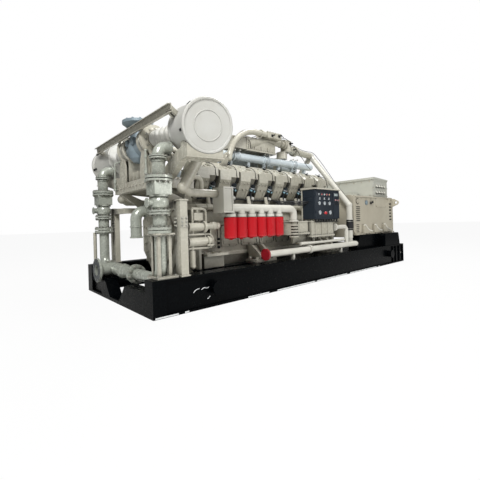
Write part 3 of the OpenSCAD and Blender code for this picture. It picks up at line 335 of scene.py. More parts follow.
def flat_ring(bm, p, axis, r0, r1, thick, turn=0.0, angle=math.tau, n=48):
    """Flat ring, or a sector of one from turn on, spun from its cross section."""
    axis = Vector(axis)
    across = Matrix.Rotation(turn, 3, axis) @ axis.orthogonal().normalized()
    mid = Vector(p) + across * (r0 + r1) / 2 + axis * thick / 2
    cols = [across * (r1 - r0), axis * thick, across.cross(axis), mid]
    section = Matrix([[*[c[i] for c in cols]] for i in range(3)] + [[0, 0, 0, 1]])
    made = bmesh.ops.create_grid(bm, x_segments=1, y_segments=1, size=0.5, matrix=section)["verts"]
    edges = list({e for v in made for e in v.link_edges})
    faces = list({f for v in made for f in v.link_faces})
    whole = angle >= math.tau
    if whole:
        bmesh.ops.delete(bm, geom=faces, context="FACES_ONLY")
        faces = []
    bmesh.ops.spin(bm, geom=made + edges + faces, cent=p, axis=axis, angle=angle, steps=n, use_merge=whole)


def hex_bolt(bm, p, axis, size):
    """Hexagon head with its chamfer on a washer; size is across flats."""
    axis = Vector(axis).normalized()
    bar(bm, p, axis, size * 0.95, size * 0.14, 12)
    bar(bm, p + axis * size * 0.14, axis, size * 0.577, size * 0.52, 6)
    bar(bm, p + axis * size * 0.66, axis, size * 0.577, size * 0.1, 6, size * 0.45)


def circle_of_bolts(bm, p, axis, r, count, size, turn=0.0):
    axis = Vector(axis).normalized()
    across = axis.orthogonal().normalized()
    if abs(axis.z) < 0.9:
        across = (UP - axis * UP.dot(axis)).normalized()
    for i in range(count):
        a = turn + i * math.tau / count
        hex_bolt(bm, Vector(p) + (across * math.cos(a) + axis.cross(across) * math.sin(a)) * r, axis, size)


def row_of_bolts(bm, p, q, count, axis, size):
    p, q = Vector(p), Vector(q)
    for i in range(count):
        hex_bolt(bm, p.lerp(q, i / max(count - 1, 1)), axis, size)


def new_object(name, data):
    o = bpy.data.objects.new(name, data)
    bpy.context.scene.collection.objects.link(o)
    return o


def piece(name, bm, finish, angle=35):
    """A finished piece that rides with the set."""
    bmesh.ops.recalc_face_normals(bm, faces=bm.faces)
    mesh = bpy.data.meshes.new(name)
    bm.to_mesh(mesh)
    bm.free()
    mesh.shade_smooth()
    mesh.set_sharp_from_angle(angle=math.radians(angle))
    o = new_object(name, mesh)
    mesh.materials.append(finish)
    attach(o, "root")
    return o


def routed(name, routes, r, finish, sides=8):
    """Fixed wires or small pipes: smooth round tubes along given points, made into one mesh."""
    curve = bpy.data.curves.new(name, "CURVE")
    curve.dimensions = "3D"
    curve.bevel_depth = r
    curve.bevel_resolution = max(sides // 4, 1)
    curve.resolution_u = 5
    curve.use_fill_caps = True
    for route in routes:
        s = curve.splines.new("BEZIER")
        s.bezier_points.add(len(route) - 1)
        for point, place in zip(s.bezier_points, route):
            point.co = place
            point.handle_left_type = point.handle_right_type = "AUTO"
    o = new_object(name + "_route", curve)
    bpy.context.view_layer.update()
    mesh = bpy.data.meshes.new_from_object(o.evaluated_get(bpy.context.evaluated_depsgraph_get()))
    bpy.data.objects.remove(o)
    bm = bmesh.new()
    bm.from_mesh(mesh)
    bmesh.ops.remove_doubles(bm, verts=bm.verts, dist=1e-5)
    return piece(name, bm, finish, 60)


# ---- turbo end ----
def drum_point(out, angle, r, side=1):
    """A point of a filter drum: out along its axis, round it by angle from the front, r from its axis."""
    local = Matrix.Rotation(DRUM_PITCH, 3, "X") @ Vector((-math.cos(angle) * r, -out, math.sin(angle) * r))
    v = Matrix.Rotation(-DRUM_SPLAY, 3, "Z") @ local + DRUM
    return side_of(v, side)


def drum_latches():
    bm = bmesh.new()
    for side in BOTH:
        for k in range(6):
            a = math.radians(-14 + 60 * k)
            # hook plate across the lid's joint, with its lever and pin
            for out, r, size in ((DRUM_L - 0.052, DRUM_R + 0.004, 0.016), (DRUM_L - 0.094, DRUM_R - 0.004, 0.02)):
                p, q = drum_point(out, a - 0.05, r, side), drum_point(out, a + 0.05, r, side)
                bar_between(bm, p, q, size / 2, 10)
            for d in (-0.03, 0.03):
                p = drum_point(DRUM_L - 0.1, a + d, DRUM_R + 0.004, side)
                q = drum_point(DRUM_L - 0.034, a + d, DRUM_R + 0.012, side)
                bar_between(bm, p, q, 0.0045, 8)
    return piece("drum_latches", bm, DARK_STEEL)


def riser_bolts():
    """Nuts on the risers' flanges: those that point up, then those below."""
    bm = bmesh.new()
    above = (
        (1.366, 0.115, 12, 0.024), (0.86, 0.1, 8, 0.026), (1.029, 0.092, 8, 0.022),
        (1.568, 0.08, 8, 0.016), (1.18, 0.083, 8, 0.016),
    )
    below = ((1.312, 0.115, 12, 0.024), (0.985, 0.092, 8, 0.022), (1.536, 0.08, 8, 0.016))
    for side in BOTH:
        for way, rows in ((UP, above), (-UP, below)):
            for z, r, count, size in rows:
                circle_of_bolts(bm, (RISER_X, -RISER_Y * side, z), way, r, count, size, 0.2)
    return piece("riser_bolts", bm, ZINC)


def gas_pipe_bolts():
    bm = bmesh.new()
    for y, way in ((-0.246, -1), (-0.19, 1), (0.59, -1), (0.63, 1)):
        r = 0.088 if y < 0 else 0.084
        circle_of_bolts(bm, (RISER_X, y, 0.33), (0, way, 0), r, 8, 0.022, 0.3)
    return piece("gas_pipe_bolts", bm, ZINC)


def gas_flange_face():
    """Bare dark face of the open gas flange, with its bolt holes left free."""
    bm = bmesh.new()
    p = Vector((X_FRONT - 0.046, GAS_Y, GAS_Z))
    flat_ring(bm, p, FRONT, GAS_BORE + 0.002, 0.107, 0.001)
    flat_ring(bm, p, FRONT, 0.133, 0.147, 0.001)
    for k in range(8):
        flat_ring(bm, p, FRONT, 0.107, 0.133, 0.001, (k + 0.5) * math.tau / 8 + 0.1, math.tau / 8 - 0.2, 5)
    return piece("gas_flange_face", bm, OILED_STEEL)


def sleeve_ribs():
    """Fine upright ribs round each riser's sleeve."""
    bm = bmesh.new()
    r, count = 0.0618, 28
    for side in BOTH:
        for k in range(count):
            a = k * math.tau / count
            foot = Vector((RISER_X + r * math.cos(a), -RISER_Y * side + r * math.sin(a), 1.392))
            bar(bm, foot, UP, 0.0035, 0.112, 6)
    return piece("sleeve_ribs", bm, FINISH["pipe_paint"])


def outlet_bolts():
    bm = bmesh.new()
    circle_of_bolts(bm, (OUTLET_X, 0, 2.15), UP, 0.158, 12, 0.022)
    for y in (-0.085, 0.085):
        for z in (1.868, 1.912):
            hex_bolt(bm, Vector((OUTLET_X - 0.118, y, z)), FRONT, 0.018)
    return piece("outlet_bolts", bm, FINISH["outlet_coat"])


def turbo_fastenings():
    bm = bmesh.new()
    for side in BOTH:
        c = Vector((TURBO_X, 0, TURBO_Z))
        for y, r, size in ((0.2, 0.138, 0.018), (0.384, 0.124, 0.015)):
            circle_of_bolts(bm, c + side_of((0, -y, 0), side), (0, side if y < 0.3 else -side, 0), r, 12, size, 0.1)
        circle_of_bolts(bm, (-2.214, -0.345 * side, 1.69), FRONT, 0.056, 6, 0.014)
        # band clamps on the two housings with their tee bolts
        for y, r in ((0.262, 0.156), (0.3, 0.155)):
            ring(bm, c + side_of((0, -y, 0), side), (0, 1, 0), r, 0.008, 40, 6)
            bar(bm, c + side_of((-0.03, -y, r + 0.012), side), (1, 0, 0), 0.006, 0.06, 8)
            hex_bolt(bm, c + side_of((0.03, -y, r + 0.012), side), (1, 0, 0), 0.014)
        for x in (TURBO_X - 0.06, TURBO_X + 0.06):
            for y in (0.255, 0.387):
                hex_bolt(bm, Vector((x, -y * side, 1.42)), UP, 0.02)
    return piece("turbo_fastenings", bm, ZINC)


def shelf_bolts():
    bm = bmesh.new()
    row_of_bolts(bm, (-2.54, -0.53, 1.36), (-2.54, 0.53, 1.36), 12, FRONT, 0.02)
    for side in BOTH:
        row_of_bolts(bm, (-2.5, -0.56 * side, 1.41), (-2.04, -0.56 * side, 1.41), 6, (0, -side, 0), 0.014)
    return piece("shelf_bolts", bm, FINISH["engine_paint"])


def post_bolts():
    bm = bmesh.new()
    for side in BOTH:
        for z in (0.868, 0.905, 0.942):
            for d in (-0.018, 0.03):
                hex_bolt(bm, Vector((POST_X + d, -(POST_Y + 0.041) * side, z)), (0, -side, 0), 0.014)
            for d in (0.052, 0.082):
                hex_bolt(bm, Vector((POST_X - 0.028, -(POST_Y - d) * side, z)), FRONT, 0.014)
    for sx in (-1, 1):
        for y in (0.768, 0.956):
            hex_bolt(bm, Vector((RISER_X + sx * 0.094, -y, DECK + 0.018)), UP, 0.022)
    # bolts under the column's head plate
    row_of_bolts(bm, (RISER_X - 0.088, -0.932, 0.782), (RISER_X + 0.092, -0.932, 0.782), 5, -UP, 0.018)
    row_of_bolts(bm, (RISER_X - 0.088, -0.892, 0.782), (RISER_X - 0.088, -0.76, 0.782), 3, -UP, 0.018)
    return piece("post_bolts", bm, ZINC)


def front_cover_bolts():
    bm = bmesh.new()
    circle_of_bolts(bm, (-2.22, 0, 0.74), FRONT, 0.345, 20, 0.02)
    circle_of_bolts(bm, (-2.27, 0, 0.74), FRONT, 0.125, 8, 0.024)
    circle_of_bolts(bm, (-2.19, 0, 0.74), FRONT, 0.465, 24, 0.018)
    for side in BOTH:
        circle_of_bolts(bm, (-2.215, -0.33 * side, 1.11), FRONT, 0.058, 6, 0.014)
        row_of_bolts(bm, (-2.11, -0.455 * side, 1.02), (-2.11, -0.455 * side, 1.17), 3, FRONT, 0.018)
    return piece("front_cover_bolts", bm, FINISH["engine_paint"])


# ---- heads and covers ----
def cylinder_starts():
    return [BANK_X0 + i * PITCH + HEAD_GAP / 2 for i in range(CYLINDERS)]


def head_bolts():
    bm = bmesh.new()
    for side in BOTH:
        out = bank_way(0, -1, 0, side)
        for x in cylinder_starts():
            w = HEAD_SPAN
            for dx, z in ((0.05, 0.56), (0.05, 0.7), (0.5, 0.56), (0.5, 0.7), (0.27, 0.535)):
                hex_bolt(bm, bank(x + w * dx, -HEAD_W / 2, z, side), out, 0.017)
            # bolts at the pocket's floor, and its two studs
            for dx, z in ((0.64, 0.68), (0.92, 0.68), (0.92, 0.56)):
                hex_bolt(bm, bank(x + w * dx, -HEAD_W / 2 + 0.08, z, side), out, 0.018)
    return piece("head_bolts", bm, FINISH["engine_paint"])


def cover_bolts():
    bm = bmesh.new()
    for side in BOTH:
        up = bank_way(0, 0, 1, side)
        out = bank_way(0, -1, 0, side)
        for x in cylinder_starts():
            w = HEAD_SPAN
            for dx in (0.1, 0.3, 0.48):
                hex_bolt(bm, bank(x + w * dx, -HEAD_W / 2 + 0.006, COVER_D + 0.018, side), up, 0.012)
                hex_bolt(bm, bank(x + w * dx, HEAD_W / 2 - 0.006, COVER_D + 0.018, side), up, 0.012)
            # fastenings along the upright foot of the cover
            for dx in (0.2, 0.42):
                hex_bolt(bm, bank(x + w * dx, -COVER_W / 2, COVER_D + 0.045, side), out, 0.013)
            for dx, y in ((0.36, 0.05), (0.86, 0.05), (0.86, -0.09), (0.36, -0.09)):
                hex_bolt(bm, bank(x + w * dx, y, COVER_D + COVER_H, side), up, 0.02)
    return piece("cover_bolts", bm, FINISH["engine_paint"])


def coil_at(i):
    return BANK_X0 + i * PITCH + 0.265


def coil_bands():
    """White band round each coil's neck, pale blue bands round its body and the end of its plug."""
    white, blue = bmesh.new(), bmesh.new()
    for side in BOTH:
        up = bank_way(0, 0, 1, side)
        for i in range(CYLINDERS):
            y = -HEAD_W / 2 + COIL_IN
            bar(white, bank(coil_at(i), y, DECK_D + 0.224, side), up, 0.0335, 0.014, 20)
            bar(blue, bank(coil_at(i), y, DECK_D + 0.188, side), up, 0.0345, 0.022, 20)
            bar(blue, bank(coil_at(i), y - 0.058, DECK_D + 0.202, side), bank_way(0, -1, 0, side), 0.013, 0.003, 16)
    piece("coil_bands", white, WHITE_ENAMEL)
    return piece("coil_rings", blue, PALE_BLUE)


def coil_leads():
    """Thin leads from the coils up over the covers to the clips below the exhaust pipe."""
    routes = []
    for side in BOTH:
        for i in range(CYLINDERS):
            x = coil_at(i)
            y = -HEAD_W / 2 + COIL_IN
            top = DECK_D + 0.276
            routes.append([
                bank(x, y, top - 0.01, side),
                bank(x + 0.004, y - 0.006, top + 0.03, side),
                bank(x + 0.016, y - 0.012, COVER_D + 0.075, side),
                bank(x + 0.02, y + 0.03, COVER_D + 0.13, side),
                bank(x + 0.014, y + 0.09, COVER_D + COVER_H + 0.012, side),
                bank(x + 0.006, 0.06, COVER_D + COVER_H + 0.014, side),
                bank(x, 0.15, COVER_D + COVER_H + 0.01, side),
            ])
    return routed("coil_leads", routes, 0.004, CABLE)


def lead_clips():
    """Dark spring clips that hold the leads at the covers' upper edges."""
    bm = bmesh.new()
    for side in BOTH:
        up = bank_way(0, 0, 1, side)
        along = Vector((1, 0, 0))
        for i in range(CYLINDERS):
            p = bank(coil_at(i) + 0.004, 0.07, COVER_D + COVER_H, side)
            block(bm, (-0.02, -0.012, 0), (0.02, 0.012, 0.02), 0.003, facing(p, up))
            ring(bm, p + up * 0.024, bank_way(0, 1, 0, side), 0.016, 0.0035, 14, 6)
            bar(bm, p + up * 0.036 - along * 0.01, along, 0.004, 0.03, 8)
    return piece("lead_clips", bm, DARK_STEEL)


def harness():
    """Black corrugated wiring conduit along the feet of the heads, with a branch up to each coil."""
    routes, branches, into_panel = [], [], []
    for side in BOTH:
        route = []
        for k in range(25):
            y, z = -HEAD_W / 2 - 0.03 - 0.006 * math.sin(k * 1.9), DECK_D + 0.06 + 0.008 * math.sin(k * 1.3)
            route.append(bank(-1.92 + k * 0.117, y, z, side))
        routes.append(route)
        for i in range(CYLINDERS):
            x = coil_at(i)
            branches.append([
                bank(x - 0.05, -HEAD_W / 2 - 0.028, DECK_D + 0.06, side),
                bank(x - 0.01, -HEAD_W / 2 - 0.03, DECK_D + 0.085, side),
                bank(x, -HEAD_W / 2, DECK_D + 0.12, side),
                bank(x, -HEAD_W / 2, DECK_D + 0.19, side),
            ])
    # thick loom from the near conduit into the panel's end face
    for k, z in enumerate((1.172, 1.15, 1.128)):
        into_panel.append([
            (-0.56 + 0.02 * k, -0.474, 1.192), (-0.48, -0.5 - 0.01 * k, z + 0.016), (-0.39, -0.6, z + 0.004),
            (-0.29, -0.73 + 0.02 * k, z), (-0.21, -0.82 + 0.03 * k, z - 0.006),
            (PANEL_X0 + 0.002, -0.835 + 0.03 * k, z - 0.008),
        ])
    routed("panel_loom", into_panel, 0.009, CABLE)
    routed("coil_branches", branches, 0.006, CABLE)
    return routed("wiring_conduit", routes, 0.0105, CABLE, 12)


def head_elbows():
    """Cast elbows that bring the coolant out of each pocket into the rail below."""
    bm = bmesh.new()
    for side in BOTH:
        for x in cylinder_starts():
            px = x + HEAD_SPAN * 0.9
            a = bank(px, -HEAD_W / 2 + 0.07, DECK_D + 0.09, side)
            b = bank(px, -HEAD_W / 2 - 0.012, DECK_D + 0.074, side)
            bar_between(bm, a, b, 0.026, 18)
            bmesh.ops.create_uvsphere(bm, u_segments=18, v_segments=10, radius=0.031, matrix=Matrix.Translation(b))
            down = bank(px, -HEAD_W / 2 - 0.02, DECK_D - 0.03, side)
            bar_between(bm, b, down, 0.022, 18)
            bar(bm, down, (b - down).normalized(), 0.03, 0.012, 18)
    return piece("head_elbows", bm, FINISH["drum_paint"])


def manifold_clamps():
    """Tee bolts and hooks of the clamps on the exhaust pipes."""
    bm = bmesh.new()
    for side in BOTH:
        for x in (-1.72, -1.05, -0.42, 0.274):
            for s in (-1, 1):
                p = Vector((x + s * 0.052, (MANIFOLD_Y - 0.03) * side, MANIFOLD_Z + MANIFOLD_R + 0.012))
                bar(bm, p + side_of((0, 0.03, 0.006), side), (0, -side, 0), 0.005, 0.07, 8)
                hex_bolt(bm, p + side_of((0, -0.035, 0.006), side), (0, -side, 0), 0.014)
    return piece("manifold_clamps", bm, ZINC)


# ---- top housing ----
def housing_bolts():
    bm = bmesh.new()
    for side in BOTH:
        row_of_bolts(bm, (-0.86, -0.256 * side, 1.992), (-0.26, -0.256 * side, 1.992), 13, UP, 0.013)
        row_of_bolts(bm, (-0.838, -0.261 * side, 2.0), (-0.838, -0.261 * side, 2.13), 5, (0, -side, 0), 0.014)
    row_of_bolts(bm, (-0.838, -0.22, 2.176), (-0.838, 0.22, 2.176), 8, UP, 0.014)
    row_of_bolts(bm, (-0.23, -0.2, 2.005), (-0.23, 0.2, 2.005), 7, (1, 0, 0), 0.013)
    circle_of_bolts(bm, (-0.04, -0.195, 2.185), (1, 0, 0), 0.056, 8, 0.012)
    # lid of the valve box
    for y in (-0.334, -0.102):
        row_of_bolts(bm, (-0.488, y, 2.29), (-0.192, y, 2.29), 6, UP, 0.012)
    return piece("housing_bolts", bm, FINISH["engine_paint"])


def top_sensors():
    """Screwed-in sensors with their plugs, on the housing and on the near faces of the pipes."""
    bm = bmesh.new()
    for p, way in (
        ((-0.7, -0.05, 2.176), UP), ((-0.56, 0.06, 2.173), UP), ((-0.24, -0.346, 2.25), NEAR),
        ((-0.4, -0.346, 2.235), NEAR), ((0.14, -0.255, 2.2), NEAR), ((0.36, -0.155, 2.15), NEAR),
    ):
        p, way = Vector(p), Vector(way)
        hex_bolt(bm, p, way, 0.024)
        bar(bm, p + way * 0.014, way, 0.008, 0.03, 12)
        q = p + way * 0.046
        block(bm, q - Vector((0.013, 0.01, 0.01)), q + Vector((0.013, 0.01, 0.01)), 0.003)
    return piece("top_sensors", bm, DARK_STEEL)


def top_wires():
    routes = [
        # over the arch, along the valve box, then past the mixer and down the near return pipe
        [
            (-1.16, -0.29, 2.07), (-1.06, -0.28, 2.17), (-0.9, -0.26, 2.26), (-0.72, -0.25, 2.288),
            (-0.62, -0.22, 2.288), (-0.52, -0.16, 2.262), (-0.44, -0.15, 2.286), (-0.3, -0.2, 2.292),
            (-0.2, -0.27, 2.288), (-0.172, -0.3, 2.25),
        ],
        [
            (-0.7, -0.05, 2.228), (-0.6, -0.03, 2.235), (-0.53, -0.06, 2.26), (-0.46, -0.09, 2.288),
            (-0.3, -0.12, 2.291), (-0.18, -0.14, 2.286), (-0.1, -0.16, 2.262), (0.0, -0.18, 2.265),
            (0.1, -0.2, 2.273), (0.2, -0.19, 2.255), (0.28, -0.16, 2.225), (0.42, -0.12, 2.228),
            (0.6, -0.08, 2.212), (0.9, -0.04, 2.205), (1.01, -0.08, 2.19), (1.04, -0.18, 2.07),
            (1.07, -0.34, 1.83), (1.08, -0.55, 1.52), (1.09, -0.7, 1.33), (1.08, -0.8, 1.2),
        ],
        [
            (-0.56, 0.06, 2.225), (-0.46, 0.1, 2.235), (-0.3, 0.12, 2.24), (-0.15, 0.1, 2.17),
            (0.02, 0.04, 2.1), (0.16, 0.0, 2.04), (0.36, 0.16, 1.99), (0.44, 0.3, 1.86),
        ],
        [
            (-0.24, -0.395, 2.25), (-0.2, -0.4, 2.232), (-0.14, -0.33, 2.242), (-0.06, -0.26, 2.268),
            (0.02, -0.26, 2.27), (0.08, -0.27, 2.24), (0.13, -0.295, 2.2),
        ],
        [
            (0.36, -0.2, 2.15), (0.38, -0.22, 2.12), (0.42, -0.24, 2.04), (0.46, -0.28, 1.96),
            (0.5, -0.32, 1.86), (0.54, -0.37, 1.78),
        ],
    ]
    return routed("top_wires", routes, 0.0045, CABLE)


def mixer_bolts():
    bm = bmesh.new()
    circle_of_bolts(bm, (0.044, -0.195, 2.185), (1, 0, 0), 0.068, 8, 0.013)
    circle_of_bolts(bm, (0.14, -0.16, 2.264), UP, 0.062, 8, 0.013)
    circle_of_bolts(bm, (0.14, -0.16, 2.08), UP, 0.102, 10, 0.012)
    along = Vector((0.991, 0.13, -0.01)).normalized()
    circle_of_bolts(bm, (0.476, -0.076, 2.144), along, 0.075, 8, 0.014)
    circle_of_bolts(bm, (0.42, -0.084, 2.144), -along, 0.075, 8, 0.014)
    return piece("mixer_bolts", bm, ZINC)


# ---- near side ----
def block_bolts():
    bm = bmesh.new()
    for side in BOTH:
        out = Vector((0, -side, 0))
        for i in range(CYLINDERS):
            x = BANK_X0 + i * PITCH
            for dx in (0.055, PITCH / 2, PITCH - 0.055):
                for z in (0.595, 0.835):
                    hex_bolt(bm, Vector((x + dx, -0.516 * side, z)), out, 0.018)
            for z in (0.67, 0.76):
                for dx in (0.055, PITCH - 0.055):
                    hex_bolt(bm, Vector((x + dx, -0.516 * side, z)), out, 0.018)
            row_of_bolts(bm, (x + 0.04, -0.508 * side, 0.9), (x + PITCH - 0.04, -0.508 * side, 0.9), 4, UP, 0.014)
            hex_bolt(bm, Vector((x + PITCH / 2, -0.522 * side, 0.715)), out, 0.034)
        for x in (-1.15, 0.42):
            for dx in (-0.04, 0.26):
                hex_bolt(bm, Vector((x + dx, -0.75 * side, DECK + 0.028)), UP, 0.042)
                hex_bolt(bm, Vector((x + dx, -0.62 * side, DECK + 0.028)), UP, 0.042)
        row_of_bolts(bm, (-1.95, -0.66 * side, 0.53), (-1.72, -0.66 * side, 0.53), 3, UP, 0.026)
    return piece("block_bolts", bm, FINISH["engine_paint"])


def dark_plugs():
    """Dark bolts in the block's side between its doors and on the ribs of the feet."""
    bm = bmesh.new()
    for side in BOTH:
        out = Vector((0, -side, 0))
        for z in (0.578, 0.629, 0.68):
            bar(bm, Vector((-1.634, -0.5 * side, z)), out, 0.017, 0.014, 16)
            hex_bolt(bm, Vector((-1.634, -0.514 * side, z)), out, 0.018)
        for x in (-1.15, 0.42):
            for dx in (0.0, 0.18):
                hex_bolt(bm, Vector((x + dx + 0.02, -0.78 * side, 0.415)), out, 0.024)
    return piece("dark_plugs", bm, DARK_STEEL)


def filter_trim():
    """Hexagon bosses under the oil filters and the black seal under each head."""
    seals = bmesh.new()
    nuts = bmesh.new()
    for i in range(6):
        x = FILTER_X0 + i * FILTER_PITCH
        ring(seals, (x, FILTER_Y, FILTER_TOP - 0.001), UP, FILTER_R - 0.006, 0.004, 40, 6)
        bar(nuts, Vector((x, FILTER_Y, FILTER_TOP - FILTER_H)), -UP, 0.024, 0.012, 6)
    piece("filter_seals", seals, FINISH["coupling_rubber"])
    return piece("filter_bosses", nuts, FINISH["filter_paint"])


def cooler_bolts():
    bm = bmesh.new()
    for x0, x1, y, z in ((-0.48, -0.23, -0.88, 0.712), (-0.206, 0.376, -0.916, 0.664)):
        count = int((x1 - x0) / 0.045)
        for h, way in ((z, UP), (z - 0.024, -UP)):
            row_of_bolts(bm, (x0 + 0.01, y + 0.012, h), (x1 - 0.01, y + 0.012, h), count, way, 0.015)
    for x0, x1, y, z in ((-0.47, -0.24, -0.858, 0.882), (-0.2, 0.37, -0.9, 0.882)):
        row_of_bolts(bm, (x0 + 0.02, y + 0.008, z), (x1 - 0.02, y + 0.008, z), int((x1 - x0) / 0.06), UP, 0.013)
    circle_of_bolts(bm, (0.42, -0.9, 0.77), (1, 0, 0), 0.048, 6, 0.014)
    return piece("cooler_bolts", bm, ZINC)


def panel_fittings():
    """Door, lamps, dials, switches and display of the control panel, all without words."""
    face = PANEL_Y0 + 0.006
    door = bmesh.new()
    x0, x1 = PANEL_X0 + 0.044, PANEL_X0 + PANEL_W - 0.174
    z0, z1 = PANEL_Z0 + 0.034, PANEL_Z0 + PANEL_H - 0.034
    block(door, (x0, face - 0.004, z0), (x1, face, z1), 0.002)
    side_x = PANEL_X0 + PANEL_W
    block(door, (side_x - 0.146, face - 0.004, PANEL_Z0 + 0.204), (side_x - 0.024, face, z1), 0.002)
    for z in (z0 + 0.05, z1 - 0.07):
        bar(door, Vector((PANEL_X0 + 0.02, PANEL_Y0 - 0.006, z)), UP, 0.007, 0.05, 12)
    for x in (PANEL_X0 + 0.02, PANEL_X0 + PANEL_W - 0.02):
        for z in (PANEL_Z0 + 0.02, PANEL_Z0 + PANEL_H - 0.02):
            hex_bolt(door, Vector((x, PANEL_Y0, z)), NEAR, 0.01)
    # narrow vents near the top of the end that faces the front
    for z in (PANEL_Z0 + 0.33, PANEL_Z0 + 0.27):
        for k in range(4):
            y = PANEL_Y0 + 0.035 + k * 0.042
            block(door, (PANEL_X0 - 0.004, y, z), (PANEL_X0, y + 0.03, z + 0.012), 0.0015)
    piece("panel_door", door, FINISH["panel_paint"])
    # cable glands and a loom under the front edge
    glands, looms = bmesh.new(), []
    for k in range(9):
        x, y, z = PANEL_X0 + 0.05 + k * 0.07, PANEL_Y0 + 0.021, PANEL_Z0
        bar(glands, Vector((x, y, z)), -UP, 0.016, 0.012, 6)
        bar(glands, Vector((x, y, z - 0.012)), -UP, 0.012, 0.014, 14)
        bends = ((0, 0, -0.02), (0.004, 0.005, -0.034), (0.03, 0.015, -0.042), (0.075, 0.015, -0.04))
        looms.append([(x + a, y + b, z + c) for a, b, c in bends])
    piece("panel_glands", glands, FINISH["coil_plastic"])
    routed("gland_cables", looms, 0.008, CABLE)

    rims, faces, red, amber, hands, glass = (bmesh.new() for _ in range(6))
    near = face - 0.004
    width = x1 - x0

    def lamp(bm, u, v, r):
        p = Vector((x0 + u * width, near, z0 + v * (z1 - z0)))
        ring(rims, p + NEAR * 0.003, NEAR, r + 0.003, 0.003, 20, 6)
        seat = Matrix.Translation(p + NEAR * 0.001)
        bmesh.ops.create_uvsphere(bm, u_segments=16, v_segments=8, radius=r, matrix=seat)

    def dial(u, v, r, turn):
        p = Vector((x0 + u * width, near, z0 + v * (z1 - z0)))
        bar(rims, p, NEAR, r, 0.012, 32)
        bar(faces, p + NEAR * 0.0125, NEAR, r * 0.86, 0.001, 32)
        # pointer and scale marks
        for k in range(9):
            a = math.radians(-120 + k * 30)
            q = p + NEAR * 0.0135 + Vector((math.sin(a), 0, math.cos(a))) * r * 0.7
            tilt = Matrix.Translation(q) @ Matrix.Rotation(a, 4, "Y")
            block(hands, (-0.0012, -0.0005, -0.004), (0.0012, 0.0005, 0.004), 0, tilt)
        q = p + NEAR * 0.0138
        tilt = Matrix.Translation(q) @ Matrix.Rotation(turn, 4, "Y")
        block(hands, (-0.0016, -0.0006, -0.004), (0.0016, 0.0006, r * 0.6), 0, tilt)

    for u, bm in ((0.15, faces), (0.32, red), (0.47, faces), (0.62, red), (0.77, amber)):
        lamp(bm, u, 0.9, 0.0105)
    for u in (0.2, 0.47, 0.74):
        lamp(faces, u, 0.745, 0.009)
        x, tall = x0 + u * width, z1 - z0
        block(faces, (x - 0.022, near - 0.004, z0 + 0.69 * tall), (x + 0.022, near, z0 + 0.71 * tall), 0.001)
    for u, turn in ((0.15, -0.9), (0.45, 0.4), (0.75, -0.3)):
        dial(u, 0.54, 0.031, turn)
    for u, turn in ((0.17, 0.7), (0.78, -0.6)):
        dial(u, 0.17, 0.035, turn)
    # mushroom stop button
    p = Vector((x0 + 0.47 * width, near, z0 + 0.15 * (z1 - z0)))
    bar(rims, p, NEAR, 0.024, 0.008, 24)
    bar(red, p + NEAR * 0.008, NEAR, 0.013, 0.014, 20)
    bar(red, p + NEAR * 0.022, NEAR, 0.023, 0.01, 24, 0.018)
    # display and its keys on the narrow door
    dx0, dx1 = PANEL_X0 + PANEL_W - 0.136, PANEL_X0 + PANEL_W - 0.034
    block(glass, (dx0, near - 0.004, z1 - 0.055), (dx1, near, z1 - 0.014), 0.002)
    for k in range(3):
        lamp(red, 1.14 + 0.11 * k, 0.69, 0.008)
    for k in range(6):
        kx, kz = dx0 + 0.006 + (k % 3) * 0.034, z1 - 0.16 - (k // 3) * 0.03
        block(hands, (kx, near - 0.004, kz), (kx + 0.024, near, kz + 0.018), 0.0015)
    piece("panel_rims", rims, CHROME)
    piece("panel_dials", faces, WHITE_ENAMEL)
    piece("panel_red_lamps", red, RED_LENS)
    piece("panel_amber_lamp", amber, AMBER_LENS)
    piece("panel_display", glass, GREY_GLASS)
    return piece("panel_keys", hands, DARK_STEEL)


# ---- rear ----
def hose_clamps():
    bm = bmesh.new()
    for side in BOTH:
        for z in (0.726, 0.852):
            c = Vector((RETURN_X, -RETURN_Y * side, z))
            ring(bm, c, UP, 0.0605, 0.003, 40, 6)
            bar(bm, c + side_of((-0.02, -0.066, 0), side), (1, 0, 0), 0.006, 0.04, 10)
    return piece("hose_clamps", bm, ZINC)


def alternator_screws():
    bm = bmesh.new()
    for side in BOTH:
        out = Vector((0, -side, 0))
        y = -ALT_Y * side
        row_of_bolts(bm, (1.44, y, 1.27), (2.54, y, 1.27), 7, out, 0.014)
        row_of_bolts(bm, (1.22, -(ALT_Y + 0.026) * side, 0.612), (2.72, -(ALT_Y + 0.026) * side, 0.612), 14, out, 0.016)
        for x in (2.025, 2.405):
            for z in (1.133, 1.281):
                hex_bolt(bm, Vector((x, -(ALT_Y + 0.005) * side, z)), out, 0.014)
        circle_of_bolts(bm, (1.3, -(ALT_Y + 0.008) * side, 1.215), out, 0.034, 6, 0.01)
        row_of_bolts(bm, (1.215, y, 0.68), (1.215, y, 1.14), 6, out, 0.014)
        row_of_bolts(bm, (2.725, y, 0.68), (2.725, y, 1.28), 7, out, 0.014)
        for x in (2.08, 2.67):
            for z in (1.35, 1.51, 1.66):
                hex_bolt(bm, Vector((x, -0.748 * side, z)), out, 0.013)
    row_of_bolts(bm, (2.06, -0.68, 1.36), (2.06, 0.68, 1.36), 9, FRONT, 0.014)
    row_of_bolts(bm, (2.06, -0.68, 1.64), (2.06, 0.68, 1.64), 9, FRONT, 0.014)
    circle_of_bolts(bm, (2.784, 0, 0.86), (1, 0, 0), 0.28, 12, 0.018)
    circle_of_bolts(bm, (2.784, 0, 0.86), (1, 0, 0), 0.18, 8, 0.016)
    return piece("alternator_screws", bm, FINISH["alternator_paint"])


